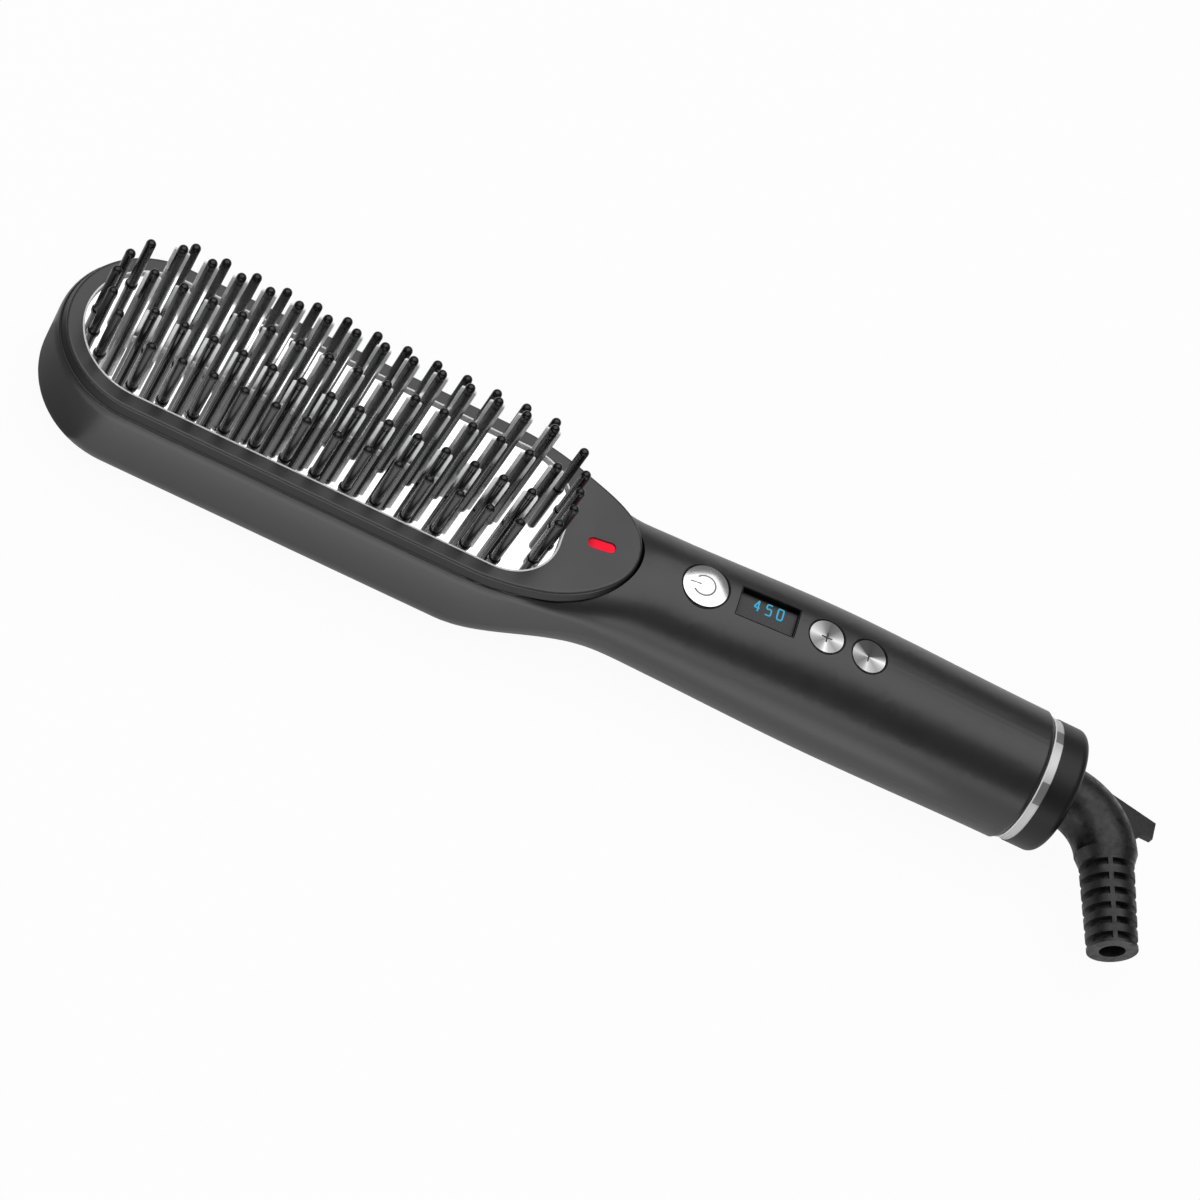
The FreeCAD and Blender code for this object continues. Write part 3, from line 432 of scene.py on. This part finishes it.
# By slot: name, dark and pale colour, roughness, grain and its depth in millimetres, and what is special.
recipes = {
    "housing_plastic": ("soft_black_paint", (24, 24, 25), (30, 30, 31), 0.34, 0.32, 0.010, silky),
    "bristle_plastic": ("black_nylon", (10, 10, 10), (15, 15, 15), 0.24, 0.5, 0.001, smooth),
    "gasket_rubber": ("grey_silicone", (88, 88, 90), (104, 104, 106), 0.55, 0.6, 0.02, {}),
    "heater_ceramic": ("white_ceramic", (214, 208, 196), (232, 227, 218), 0.5, 0.5, 0.02, {}),
    "spring_sheet": ("spring_steel", (150, 150, 150), (176, 176, 174), 0.32, 0.4, 0.006, metal),
    "mica": ("mica_sheet", (150, 132, 96), (182, 166, 130), 0.35, 1.5, 0.02, {}),
    "sensor_body": ("black_epoxy", (24, 24, 26), (36, 36, 38), 0.3, 0.7, 0.02, {}),
    "fuse_metal": ("tinned_can", (170, 168, 162), (196, 194, 188), 0.28, 0.8, 0.006, metal),
    "display_body": ("display_case", (20, 20, 22), (28, 28, 30), 0.45, 0.5, 0.01, {}),
    "switch_plastic": ("switch_case", (30, 30, 32), (46, 46, 48), 0.45, 0.4, 0.01, {}),
    "capacitor_case": ("capacitor_box", (196, 176, 60), (214, 196, 84), 0.4, 0.7, 0.02, {}),
    "terminal_plastic": ("terminal_case", (40, 108, 62), (52, 124, 76), 0.42, 0.5, 0.02, {}),
    "lead_cover": ("lead_sleeve", (168, 40, 34), (190, 58, 48), 0.5, 0.6, 0.03, {}),
    "swivel_plastic": ("bearing_plastic", (196, 194, 186), (212, 210, 204), 0.35, 0.6, 0.01, {}),
    "contact_brass": ("brass", (190, 152, 84), (214, 178, 108), 0.25, 0.5, 0.006, metal),
    "boot_rubber": ("black_rubber", (14, 14, 14), (28, 28, 28), 0.40, 1.6, 0.12, coarse),
    "screw_steel": ("zinc_steel", (176, 178, 180), (204, 206, 208), 0.3, 0.3, 0.008, metal),
}
finishes = {slot: from_recipe(*recipe) for slot, recipe in recipes.items()}
print("plain finishes:", len(finishes))

# %% [markdown]
# The plate under the teeth is polished metal and mirrors the teeth and the soft box. A mirror is only believable
# with a trace of the polishing left in it: fine lines along the plate, far longer than wide, so the noise is
# squeezed along one axis before it is read.

# %% Polished plate
polish_wear = 0.93


def line_noise(place, sizes, detail):
    """Noise whose grain has its own size, in millimetres, on each axis."""
    lengths = Vector(sizes) * mm
    squeezed = place.node("ShaderNodeVectorMath", {"operation": "DIVIDE"}, {0: place, 1: lengths})
    return place.node("ShaderNodeTexNoise", sockets={"Vector": squeezed, "Scale": 1.0, "Detail": detail})


def polished_metal(name, pale, rough, sizes, mirror):
    material, place = start_finish(name, {"Metallic": mirror})
    lines = line_noise(place, sizes, detail=3.0)
    return end_finish(material, {
        "Base Color": two_colours(lines, grey(pale), grey(polish_wear * pale)),
        "Roughness": rough + lines * rough,
        "Normal": bumps(lines, 0.002 * mm, strength=0.2),
    })


finishes["plate_metal"] = polished_metal(
    "polished_plate", pale=0.93, rough=0.03, sizes=(40.0, 0.6, 1000.0), mirror=1.0)
print("plate finish:", finishes["plate_metal"].name)

# %% [markdown]
# The thin blades in the teeth are mirrors near the plate. Towards their tips they turn matt and nearly white:
# painted glints, standing in for the white streaks that the curved blades reflect. So the share of mirror falls
# with the height, a little unevenly, and the roughness rises as the mirror goes.

# %% Blades in the teeth
mirror_ends, glint_begins, unevenness = 0.52, 0.72, 0.3
glint_rough, mirror_gain = 0.24, 0.2


def blade_metal():
    foot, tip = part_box("heating_plate")[1].z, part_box("heat_fins")[1].z
    material, place = start_finish("blade_painted_glints", {})
    lines = line_noise(place, (0.8, 0.8, 7.0), detail=1.0)
    share = (axis_of(place, "Z") - foot) / (tip - foot) + (lines - 0.5) * unevenness
    # Above this share the blade turns from mirror to matt white: painted glints.
    mirror = fade(share, mirror_ends, glint_begins, 1.0, 0.0)
    return end_finish(material, {
        "Base Color": two_colours(lines, grey(1.0), grey(0.94)),
        "Metallic": mirror,
        "Roughness": glint_rough - mirror * mirror_gain,
    })


finishes["fin_metal"] = blade_metal()
print("blade finish:", finishes["fin_metal"].name)

# %% [markdown]
# The buttons are metal that was spun under a tool, which leaves fine rings round the middle. The power button was
# polished afterwards, so it stays nearly white. On the two small ones the rings scatter the light into wedges
# that meet at the middle. A true anisotropic shine would need the wedges' lamps around every viewer, so here the
# bright and dark wedges are a painted reflection in the colour: a ramp read by the angle round the button's axis.

# %% Spun buttons
ring_grain, ring_dimming = 0.12 * mm, 0.8


def round_axis(place, node):
    """The distance from a node's upright middle line, and the turn round it from 0 to 1."""
    low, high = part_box(node)
    offset = place.node("ShaderNodeVectorMath", {"operation": "SUBTRACT"}, {0: place, 1: (low + high) / 2})
    x, y = axis_of(offset, "X"), axis_of(offset, "Y")
    away = place.math("POWER", x * x + y * y, 0.5)
    return away, place.math("ARCTAN2", y, x) / math.tau + 0.5


def spun_metal(name, node, wedges, rough):
    material, place = start_finish(name, {"Metallic": 1.0})
    away, turn = round_axis(place, node)
    rings = place.node("ShaderNodeTexNoise", {"noise_dimensions": "1D"}, {"W": away, "Scale": 1 / ring_grain})
    # The ramp paints the bright and dark wedges of reflected light into the colour.
    painted_sheen = ramp(turn, [(at, grey(value)) for at, value in wedges])
    dimmed = place.node("ShaderNodeVectorMath", {"operation": "SCALE"}, {0: painted_sheen, "Scale": ring_dimming})
    return end_finish(material, {
        "Base Color": two_colours(rings, dimmed, painted_sheen),
        "Roughness": rough + (rings - 0.5) * 0.08,
        "Normal": bumps(rings, 0.003 * mm, strength=0.25),
    })


polish = [(0.0, 0.95), (1.0, 0.95)]
# Greys of the painted reflection wedges round each small button, by turn.
plus_painted_wedges = [
    (0.0, 0.80), (0.06, 0.44), (0.13, 0.30), (0.20, 0.46), (0.25, 1.00), (0.30, 0.52), (0.38, 0.30), (0.45, 0.44),
    (0.50, 0.72), (0.57, 0.32), (0.65, 0.14), (0.74, 0.10), (0.82, 0.20), (0.92, 0.46), (1.0, 0.80),
]
minus_painted_wedges = [
    (0.0, 0.84), (0.07, 0.46), (0.14, 0.34), (0.20, 0.56), (0.25, 1.00), (0.30, 0.60), (0.37, 0.34), (0.44, 0.46),
    (0.50, 0.80), (0.54, 0.26), (0.58, 0.07), (0.75, 0.05), (0.90, 0.08), (0.94, 0.34), (1.0, 0.84),
]
own_finishes = {
    "power_button": spun_metal("polished_dome", "power_button", polish, rough=0.18),
    "plus_button": spun_metal("spun_plus", "plus_button", plus_painted_wedges, rough=0.30),
    "minus_button": spun_metal("spun_minus", "minus_button", minus_painted_wedges, rough=0.30),
}
print("button finishes:", len(own_finishes))

# %% [markdown]
# The status light is a red lens. Its lamp sits nearer to one end, so the red is a little deeper at the other. The
# lens glows by itself, which is steadier than a lamp behind glass and survives the export.


# %% Red lens
def red_lens():
    low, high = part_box("led_window")
    material, place = start_finish("red_lens", {
        "Base Color": screen(40, 2, 8), "Roughness": 0.3, "Specular IOR Level": 0.12, "Emission Strength": 1.0})
    share = (axis_of(place, "X") - low.x) / (high.x - low.x)
    glow = ramp(share, [(0.0, screen(170, 4, 30)), (0.3, screen(248, 6, 46)), (1.0, screen(255, 8, 48))])
    return end_finish(material, {"Emission Color": glow})


finishes["light_lens"] = red_lens()
print("light finish:", finishes["light_lens"].name)

# %% [markdown]
# The display's window is smoked plastic with a soft shine. Along its far edge the colour turns black: painted
# shade, standing in for the shade of the opening's far wall. It is part of the window's colour, not a piece of its
# own.

# %% Smoked window
painted_shade_band_wide, painted_shade_band_fade = 1.0 * mm, 0.3 * mm


def smoked_window():
    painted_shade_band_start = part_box("display_lens")[1].y - painted_shade_band_wide
    material, place = start_finish("smoked_window", {"Specular IOR Level": 0.25})
    fine = speckle(place, 0.4 * mm)
    smoke = two_colours(fine, screen(63, 63, 65), screen(66, 66, 68))
    # Painted shade: the colour turns black towards the far edge.
    painted_shade_band = fade(axis_of(place, "Y"), painted_shade_band_start - painted_shade_band_fade, painted_shade_band_start, 0.0, 1.0)
    return end_finish(material, {
        "Base Color": two_colours(painted_shade_band, smoke, screen(10, 10, 11)),
        "Roughness": 0.24 + fine * 0.06,
        "Normal": bumps(fine, 0.001 * mm, strength=0.2),
    })


finishes["display_glass"] = smoked_window()
print("window finish:", finishes["display_glass"].name)

# %% [markdown]
# The bright ring at the handle's end is satin chrome. Its colour has two darker stretches, which are painted dark
# reflections. A ramp with hard steps, read by the turn round the ring, sets where each stretch begins and ends.

# %% Chrome ring
# Satin grey, and the darker grey of the two painted reflections.
ring_pale, ring_painted_dark = grey(0.66), grey(0.24)
painted_dark_turns = ((0.439, 0.479), (0.588, 0.645))


def chrome_ring():
    low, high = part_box("trim_ring")
    middle = (low + high) / 2
    material, place = start_finish("satin_chrome", {"Metallic": 0.6})
    fine = speckle(place, 0.3 * mm)
    across, height = axis_of(place, "Y"), axis_of(place, "Z")
    turn = place.math("ARCTAN2", middle.y - across, height - middle.z) / math.tau + 0.5
    steps = [(0.0, ring_pale)]
    for begin, end in painted_dark_turns:
        steps += [(begin, ring_painted_dark), (end, ring_pale)]
    return end_finish(material, {
        "Base Color": ramp(turn, steps, "steps"),
        "Roughness": 0.42 + fine * 0.06,
        "Normal": bumps(fine, 0.002 * mm, strength=0.2),
    })


finishes["trim_chrome"] = chrome_ring()
print("ring finish:", finishes["trim_chrome"].name)

# %% [markdown]
# The two circuit boards are inside, but a part in a library gets taken apart, so they get their green lacquer and
# copper tracks: the edges between the cells of a square cell pattern make straight runs with square corners.

# %% Circuit board
track_pitch, track_edge = 3.5 * mm, (0.36, 0.40)


def green_board():
    material, place = start_finish("green_board", {"Coat Roughness": 0.2, "Coat Weight": 0.5})
    pattern = {"Vector": place, "Scale": 1 / track_pitch}
    cells = place.node("ShaderNodeTexVoronoi", {"distance": "CHEBYCHEV"}, pattern)
    track = ramp(cells, [(track_edge[0], grey(0.0)), (track_edge[1], grey(1.0))])
    fine = speckle(place, 0.5 * mm)
    return end_finish(material, {
        "Base Color": two_colours(track, screen(22, 74, 46), screen(46, 112, 66)),
        "Roughness": 0.4 + fine * 0.1,
        "Normal": bumps(track, 0.03 * mm, strength=0.4),
    })


finishes["circuit_board"] = green_board()
print("finishes by slot:", len(finishes))

# %% [markdown]
# Each node's slot in the record says which finish it takes, so the finishes are handed out by slot. The three
# buttons share a slot but each needs its own middle for the rings, so they come from their own list. So do the
# cores of the teeth, which are the same black nylon as the plain pins but polished, the bezel, whose paint is a
# shade paler than the shell's because it has to stand the plate's heat, and the cap at the end, which is bare
# plastic and darker than the shell: partly its own plastic, partly painted shade, standing in for the light that
# falls off towards the end of the handle.

# %% Hand out the finishes
dull = {"steady": {"Specular IOR Level": 0.4}}
own_recipes = {
    "bezel_frame": ("soft_grey_paint", (40, 40, 41), (45, 45, 46), 0.36, 0.32, 0.010, silky),
    # Darker than the shell: partly its own plastic, partly painted shade for the light falling off at the handle's
    # end.
    "end_cap": ("matt_black_cap", (15, 15, 16), (20, 20, 21), 0.40, 0.32, 0.010, dull),
    "tooth_cores": ("polished_nylon", (8, 8, 8), (13, 13, 13), 0.10, 0.5, 0.001, smooth),
}
own_finishes.update({node: from_recipe(*recipe) for node, recipe in own_recipes.items()})
slot_of = {part["node"]: part["material_slot"] for part in frame["record"]["subparts"]}
for name, node in nodes.items():
    finish = own_finishes.get(name) or finishes[slot_of[name]]
    node.data.materials.clear()
    node.data.materials.append(finish)
print("nodes with a finish:", sum(1 for node in nodes.values() if node.active_material))

# %% [markdown]
# ## Marks on the controls
#
# The digits on the display and the signs on the buttons are strokes of even width. Each stroke is a curve with a
# round section, turned into a mesh and pressed flat. A text object could give the same letters, but its corners
# and its stroke would be those of a font.


# %% Flat strokes
def open_line(*points):
    return list(points), False


def closed_line(*points):
    return list(points), True


def stroke_mesh(name, lines, width, thick):
    """Lines of points in a plane, drawn as flat strokes with square ends, in metres."""
    curve = bpy.data.curves.new(name, "CURVE")
    curve.dimensions = "3D"
    curve.bevel_depth, curve.bevel_resolution, curve.use_fill_caps = width / 2, 3, True
    for points, closed in lines:
        spline = curve.splines.new("POLY")
        spline.points.add(len(points) - 1)
        for point, (u, v) in zip(spline.points, points):
            point.co = (u, v, 0.0, 1.0)
        spline.use_cyclic_u = closed
    drawn = bpy.data.objects.new(name, curve)
    mesh = bpy.data.meshes.new_from_object(drawn)
    bpy.data.objects.remove(drawn)
    mesh.name = name
    for vertex in mesh.vertices:
        vertex.co.z *= thick / width
    return mesh


def arc(centre, radius, start, end, steps):
    """Points on an arc, angles in degrees from the first axis."""
    turns = [math.radians(start + (end - start) * i / steps) for i in range(steps + 1)]
    return [(centre[0] + radius * math.cos(a), centre[1] + radius * math.sin(a)) for a in turns]


print("points on a quarter turn in ten steps:", len(arc((0.0, 0.0), 1.0, 0.0, 90.0, 10)))

# %% [markdown]
# Every point of a stroke is dropped onto the node that carries it, along the direction in which the button is
# pressed, so that a sign follows the dome or the dish under it. A new piece says which body it moves with, so
# that a sign sinks with its button.

# %% Laying a stroke on a node
drop_height = 8 * mm


def add_piece(mesh, body, finish, smooth_faces=True):
    """Puts a mesh into the scene as a piece that moves with a body."""
    piece = put_in_scene(mesh.name, mesh)
    mesh.materials.append(finish)
    mesh.polygons.foreach_set("use_smooth", [smooth_faces] * len(mesh.polygons))
    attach(piece, body)
    return piece


def lay_on(mesh, node, middle, along, press, body, finish):
    """Drops a flat mesh onto a node: its first axis runs along, and it is pressed onto the surface."""
    across = (-press).cross(along).normalized()
    tree = BVHTree.FromObject(nodes[node], bpy.context.evaluated_depsgraph_get())
    for vertex in mesh.vertices:
        above = middle + along * vertex.co.x + across * vertex.co.y - press * drop_height
        hit = tree.ray_cast(above, press)[0]
        vertex.co = hit - press * vertex.co.z
    return add_piece(mesh, body, finish)


def press_way(joint):
    return Vector(next(j for j in frame["joints"] if j["name"] == joint)["axis"]).normalized()


def along_handle(press):
    """The way along the handle that is square to a press."""
    return Vector((-press.z, 0.0, press.x)).normalized()


# %% [markdown]
# The display shows three digits with round corners and wide spacing. Each is drawn in shares of its own half
# width and half height, so that one shape serves for any size.

# %% Shapes of the digits
corner_share, corner_steps = 0.3, 4


def rounded(points):
    """Cuts the corners of a run of points with small curves."""
    turned = [points[0]]
    for before, corner, after in zip(points, points[1:], points[2:]):
        for i in range(corner_steps + 1):
            t = i / corner_steps
            a = [c + (b - c) * corner_share * (1 - t) ** 2 for b, c in zip(before, corner)]
            turned.append(tuple(p + (n - c) * corner_share * t ** 2 for p, n, c in zip(a, after, corner)))
    return turned + [points[-1]]


four = [
    open_line((0.45, -1.0), (0.45, 1.0)),
    open_line((0.45, 1.0), (-1.0, -0.35)),
    open_line((-1.0, -0.35), (1.0, -0.35)),
]
five_run = [(0.95, 1.0), (-0.8, 1.0), (-0.9, 0.12), (1.0, 0.25), (1.0, -1.0), (-1.0, -1.0)]
zero_run = [(0.0, 1.0), (1.0, 1.0), (1.0, -1.0), (-1.0, -1.0), (-1.0, 1.0), (0.0, 1.0)]
five, zero = [open_line(*rounded(five_run))], [closed_line(*rounded(zero_run))]
print("strokes in each digit:", [len(shape) for shape in (four, five, zero)])

# %% [markdown]
# The digits lie on the window in a light blue that glows evenly, with a trace of noise so that it isn't flat. The
# window slopes with the handle, so its own middle and its own directions are measured first.

# %% Digits on the window
digit_high, digit_wide, digit_step, digit_stroke = 3.5 * mm, 1.8 * mm, 3.05 * mm, 0.38 * mm
digit_shift, ink_thick = Vector((0.56, 1.67, 0.0)) * mm, 0.06 * mm


def digit_lines(shape, middle):
    """A digit's strokes in metres, round a middle on the line of digits."""
    half_wide, half_high = (digit_wide - digit_stroke) / 2, (digit_high - digit_stroke) / 2
    return [([(middle + u * half_wide, v * half_high) for u, v in points], closed) for points, closed in shape]


def digit_glow():
    material, place = start_finish("blue_digits", {
        "Base Color": screen(4, 12, 16), "Roughness": 0.4, "Specular IOR Level": 0.12, "Emission Strength": 1.0})
    tint = two_colours(speckle(place, 0.8 * mm), screen(45, 168, 204), screen(60, 184, 218))
    return end_finish(material, {"Emission Color": tint})


def lens_frame():
    """The middle of the display's window, and the ways along it and down onto it."""
    faces = nodes["display_lens"].data.polygons
    down = -max(faces, key=lambda face: face.normal.z * face.area).normal
    low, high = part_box("display_lens")
    return (low + high) / 2, along_handle(down), down


lens_middle, lens_along, lens_down = lens_frame()
number = []
for step, shape in enumerate((four, five, zero)):
    number += digit_lines(shape, (step - 1) * digit_step)
digits = lay_on(stroke_mesh("display_digits", number, digit_stroke, ink_thick), "display_lens",
                lens_middle + digit_shift, lens_along, lens_down, "handset", digit_glow())
print("digit points:", len(digits.data.vertices))

# %% [markdown]
# The signs on the buttons are cut into the metal. The cuts aren't modelled: their shade is painted as thin grey
# lines laid on the button, a broken ring with a bar through its gap, a plus and a minus. All of them face the head
# of the comb, as on the real handle.

# %% Signs on the buttons
ring_radius, ring_open, bar_start, bar_end = 2.75 * mm, 140.0, -3.6 * mm, -0.9 * mm
power_width, power_shift = 0.46 * mm, (-0.85 * mm, -0.36 * mm)
cross_arm, cross_width, sign_thick = 1.4 * mm, 0.38 * mm, 0.12 * mm


def painted_cut_shade(name, dark, pale):
    return plain_finish(name, grey(dark), grey(pale), rough=0.5, grain=0.3, depth=0.01)


def button_sign(node, lines, width, finish, shift=(0.0, 0.0)):
    low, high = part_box(node)
    way = press_way(node.replace("button", "press"))
    top = Vector(((low.x + high.x) / 2 + shift[0], shift[1], high.z))
    mesh = stroke_mesh(node.replace("button", "sign"), lines, width, sign_thick)
    return lay_on(mesh, node, top, along_handle(way), way, node, finish)


# Painted shade of the cuts: dark on the spun buttons, grey on the white dome.
dark_cut_shade, pale_cut_shade = painted_cut_shade("dark_cut_shade", 0.025, 0.06), painted_cut_shade("pale_cut_shade", 0.14, 0.30)
broken_ring = open_line(*arc((0.0, 0.0), ring_radius, -ring_open, ring_open, 48))
along_stroke = open_line((-cross_arm, 0.0), (cross_arm, 0.0))
across_stroke = open_line((0.0, -cross_arm), (0.0, cross_arm))
power_lines = [broken_ring, open_line((bar_start, 0.0), (bar_end, 0.0))]
signs = [
    button_sign("power_button", power_lines, power_width, pale_cut_shade, power_shift),
    button_sign("plus_button", [along_stroke, across_stroke], cross_width, dark_cut_shade),
    button_sign("minus_button", [across_stroke], cross_width, dark_cut_shade),
]
print("signs:", [sign.name for sign in signs])

# %% [markdown]
# Where the shell opens for a control, a thin dark line of painted shadow runs round each button and round the
# display, standing in for the shade at the opening's edge. The lines are loops of the same flat stroke, dropped
# onto the shell just outside the openings. They are drawn with many points, because the shell curves away to both
# sides.
# A broad dark stroke of painted shade on the far wall of the display's opening darkens the wall and keeps the
# light of the digits from shining back.

# %% Dark lines round the controls
shadow_line_width, edge_room, shadow_line_thick = 0.24 * mm, 0.16 * mm, 0.05 * mm
display_top, display_wall = Vector((120.45, 0.0, 34.391)) * mm, Vector((120.45, 4.15, 33.13)) * mm
display_half = (7.6 * mm + edge_room, 4.15 * mm + edge_room)
painted_shade_half, painted_shade_width, far_way = 7.4 * mm, 1.6 * mm, Vector((0.0, 1.0, 0.0))
button_holes = {
    "power": (Vector((104.0, 0.0, 32.84)) * mm, 6.02 * mm),
    "plus": (Vector((136.04, 0.0, 35.49)) * mm, 4.67 * mm),
    "minus": (Vector((147.70, 0.0, 35.695)) * mm, 4.67 * mm),
}
no_shine = {"steady": {"Specular IOR Level": 0.1}}
# Near-black finish of the painted shadow lines and of the painted shade on the display's far wall.
shadow_line_finish = from_recipe("painted_shadow_line", (6, 6, 6), (12, 12, 12), 0.6, 0.4, 0.01, no_shine)


def box_loop(half_long, half_wide, steps):
    """Points round a rectangle, the same number on each side."""
    corners = [(-half_long, -half_wide), (half_long, -half_wide), (half_long, half_wide), (-half_long, half_wide)]
    sides = zip(corners, corners[1:] + corners[:1])
    return [tuple(p + (q - p) * i / steps for p, q in zip(a, b)) for a, b in sides for i in range(steps)]


def on_shell(mesh, middle, along, way):
    return lay_on(mesh, "main_housing", middle, along, way, "handset", shadow_line_finish)


def shadow_line_loop(name, points, middle, along, way):
    return on_shell(stroke_mesh(name, [closed_line(*points)], shadow_line_width, shadow_line_thick), middle, along, way)


edges = [shadow_line_loop("display_shadow_line", box_loop(*display_half, 16), display_top, lens_along, lens_down)]
# A stroke of painted shade on the far wall of the display's opening.
painted_shade_line = open_line((-painted_shade_half, 0.0), (painted_shade_half, 0.0))
shade = stroke_mesh("display_painted_shade", [painted_shade_line], painted_shade_width, ink_thick)
edges.append(on_shell(shade, display_wall, lens_along, far_way))
# Each button gets a loop of painted shadow round its opening.
for name, (middle, radius) in button_holes.items():
    way = press_way(f"{name}_press")
    points = arc((0.0, 0.0), radius + edge_room, 0.0, 355.0, 71)
    edges.append(shadow_line_loop(f"{name}_edge", points, middle, along_handle(way), way))
print("dark lines:", [edge.name for edge in edges])

# %% [markdown]
# ## Bright edges
#
# The heating plate ends in a low upturned lip inside the bezel. It is only half a millimetre thick, and its pale,
# nearly matt satin colour is a painted highlight, so it draws a bright line round the opening from every side. It
# is
# built as one strip: the outline of the opening is walked once for each corner of the lip's section, and the walks
# are joined by faces.

# %% Lip round the plate
nose_x, opening_half, opening_end, corner_radius = -40.2 * mm, 18.5 * mm, 67.6 * mm, 14.2 * mm
lip_foot, lip_top = 27.0 * mm, 28.03 * mm
lip_outside, lip_inside, lip_break = 0.02 * mm, 0.50 * mm, 0.08 * mm
lip_section = [(lip_outside, lip_foot), (lip_outside, lip_top), (lip_inside - lip_break, lip_top),
               (lip_inside, lip_top - lip_break), (lip_inside, lip_foot)]


def opening_walk(inset):
    """The outline of the opening, this far inside it."""
    w, r = opening_half - inset, corner_radius - inset
    x, y = opening_end - corner_radius, opening_half - corner_radius
    nose = arc((nose_x, 0.0), w, 90.0, 270.0, 64)
    return nose + arc((x, -y), r, -90.0, 0.0, 32) + arc((x, y), r, 0.0, 90.0, 32)


def strip_mesh(name, walks):
    """Joins closed walks of equal length by faces, and the last walk to the first."""
    made = bmesh.new()
    rows = [[made.verts.new(point) for point in walk] for walk in walks]
    for row, after in zip(rows, rows[1:] + rows[:1]):
        for i, corner in enumerate(row):
            made.faces.new((row[i - 1], corner, after[i], after[i - 1]))
    bmesh.ops.recalc_face_normals(made, faces=made.faces)
    return mesh_of(made, name)


lip_walks = [[(x, y, z) for x, y in opening_walk(inset)] for inset, z in lip_section]
# Nearly matt pale metal: a painted highlight along the opening.
lip_highlight_finish = polished_metal("lip_painted_highlight", pale=0.95, rough=0.35, sizes=(0.4, 0.4, 0.4), mirror=0.15)
lip = add_piece(strip_mesh("plate_lip", lip_walks), "handset", lip_highlight_finish, smooth_faces=False)
print("lip faces:", len(lip.data.polygons))

# %% [markdown]
# The bezel's side leans out a little, so that it comes out of its mould, and nearly closes the groove between the
# bezel and the shell. The lean is little more than half a millimetre, but it turns the side towards the light: an
# upright side would mirror the groove and look black. The strip follows the bezel's outline, and each of its
# points takes its height from the bezel's top beside it.

# %% Leaning side of the bezel
bezel_half, taper_x, tip_x = 22.4 * mm, 49.5 * mm, 86.8 * mm
taper_reach, tip_reach, flank_steps = 9.0 * mm, 17.1 * mm, 40
top_inset, sharp_angle = 1.6 * mm, math.radians(40.0)
lean_section = [(-0.02 * mm, 0.58 * mm), (0.60 * mm, 2.74 * mm), (-0.02 * mm, 2.74 * mm)]


def curve_point(poles, t):
    """A point of the smooth curve that four poles pull."""
    shares = ((1 - t) ** 3, 3 * t * (1 - t) ** 2, 3 * t * t * (1 - t), t ** 3)
    return tuple(sum(s * pole[k] for s, pole in zip(shares, poles)) for k in (0, 1))


def flank(w, tip, side):
    """One side of the bezel's tip, from the straight edge to the middle."""
    poles = [(taper_x, side * w), (taper_x + taper_reach, side * w), (tip, side * tip_reach), (tip, 0.0)]
    return [curve_point(poles, i / flank_steps) for i in range(flank_steps + 1)]


def bezel_walk(grow):
    """The bezel's outline, this far outside it."""
    w, tip = bezel_half + grow, tip_x + grow
    return arc((nose_x, 0.0), w, 90.0, 270.0, 120) + flank(w, tip, -1) + flank(w, tip, 1)[-2::-1]


def bezel_heights():
    """The bezel's top, a little inside each point of its outline."""
    tree = BVHTree.FromObject(nodes["bezel_frame"], bpy.context.evaluated_depsgraph_get())
    inside = [Vector((x, y, cad_high.z)) for x, y in bezel_walk(-top_inset)]
    return [tree.ray_cast(point, Vector((0.0, 0.0, -1.0)))[0].z for point in inside]


tops = bezel_heights()
lean_walks = [[(x, y, top - drop) for (x, y), top in zip(bezel_walk(grow), tops)] for grow, drop in lean_section]
bare = {"steady": {"Specular IOR Level": 0.35}}
side_finish = from_recipe("bare_black_side", (22, 22, 23), (27, 27, 28), 0.45, 0.32, 0.010, bare)
side = add_piece(strip_mesh("bezel_side", lean_walks), "handset", side_finish)
side.data.set_sharp_from_angle(angle=sharp_angle)
print("side faces:", len(side.data.polygons), "tops in mm:", [round(f(tops) / mm, 2) for f in (min, max)])

# %% [markdown]
# The trim ring at the handle's end has a rolled edge that is brighter than its satin face. It is a thin round
# wire that follows the ring, half sunk into it. Its pale, nearly matt colour is a painted highlight, which stays
# bright from every side instead of mirroring the dark room.

# %% Rolled edge of the trim ring
ring_low, ring_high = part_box("trim_ring")
wire_radius, wire_sink, round_steps = 0.22 * mm, 0.03 * mm, 144


def round_walk(x, radius):
    """A circle round the ring's axis, at this place along the handle."""
    middle = (ring_low + ring_high) / 2
    last = 360.0 - 360.0 / round_steps
    return [(x, middle.y + v, middle.z + w) for v, w in arc((0.0, 0.0), radius, 0.0, last, round_steps - 1)]


rolled = [round_walk(ring_low.x + wire_radius + u, (ring_high.y - ring_low.y) / 2 - wire_sink + v)
          for u, v in arc((0.0, 0.0), wire_radius, 0.0, 315.0, 7)]
# Nearly matt pale metal: a painted highlight along the ring's edge.
rolled_highlight_finish = polished_metal("rolled_painted_highlight", pale=0.96, rough=0.30, sizes=(2.0, 2.0, 2.0), mirror=0.2)
rolled_edge = add_piece(strip_mesh("ring_edge", rolled), "handset", rolled_highlight_finish)
print("rolled edge points:", len(rolled_edge.data.vertices))
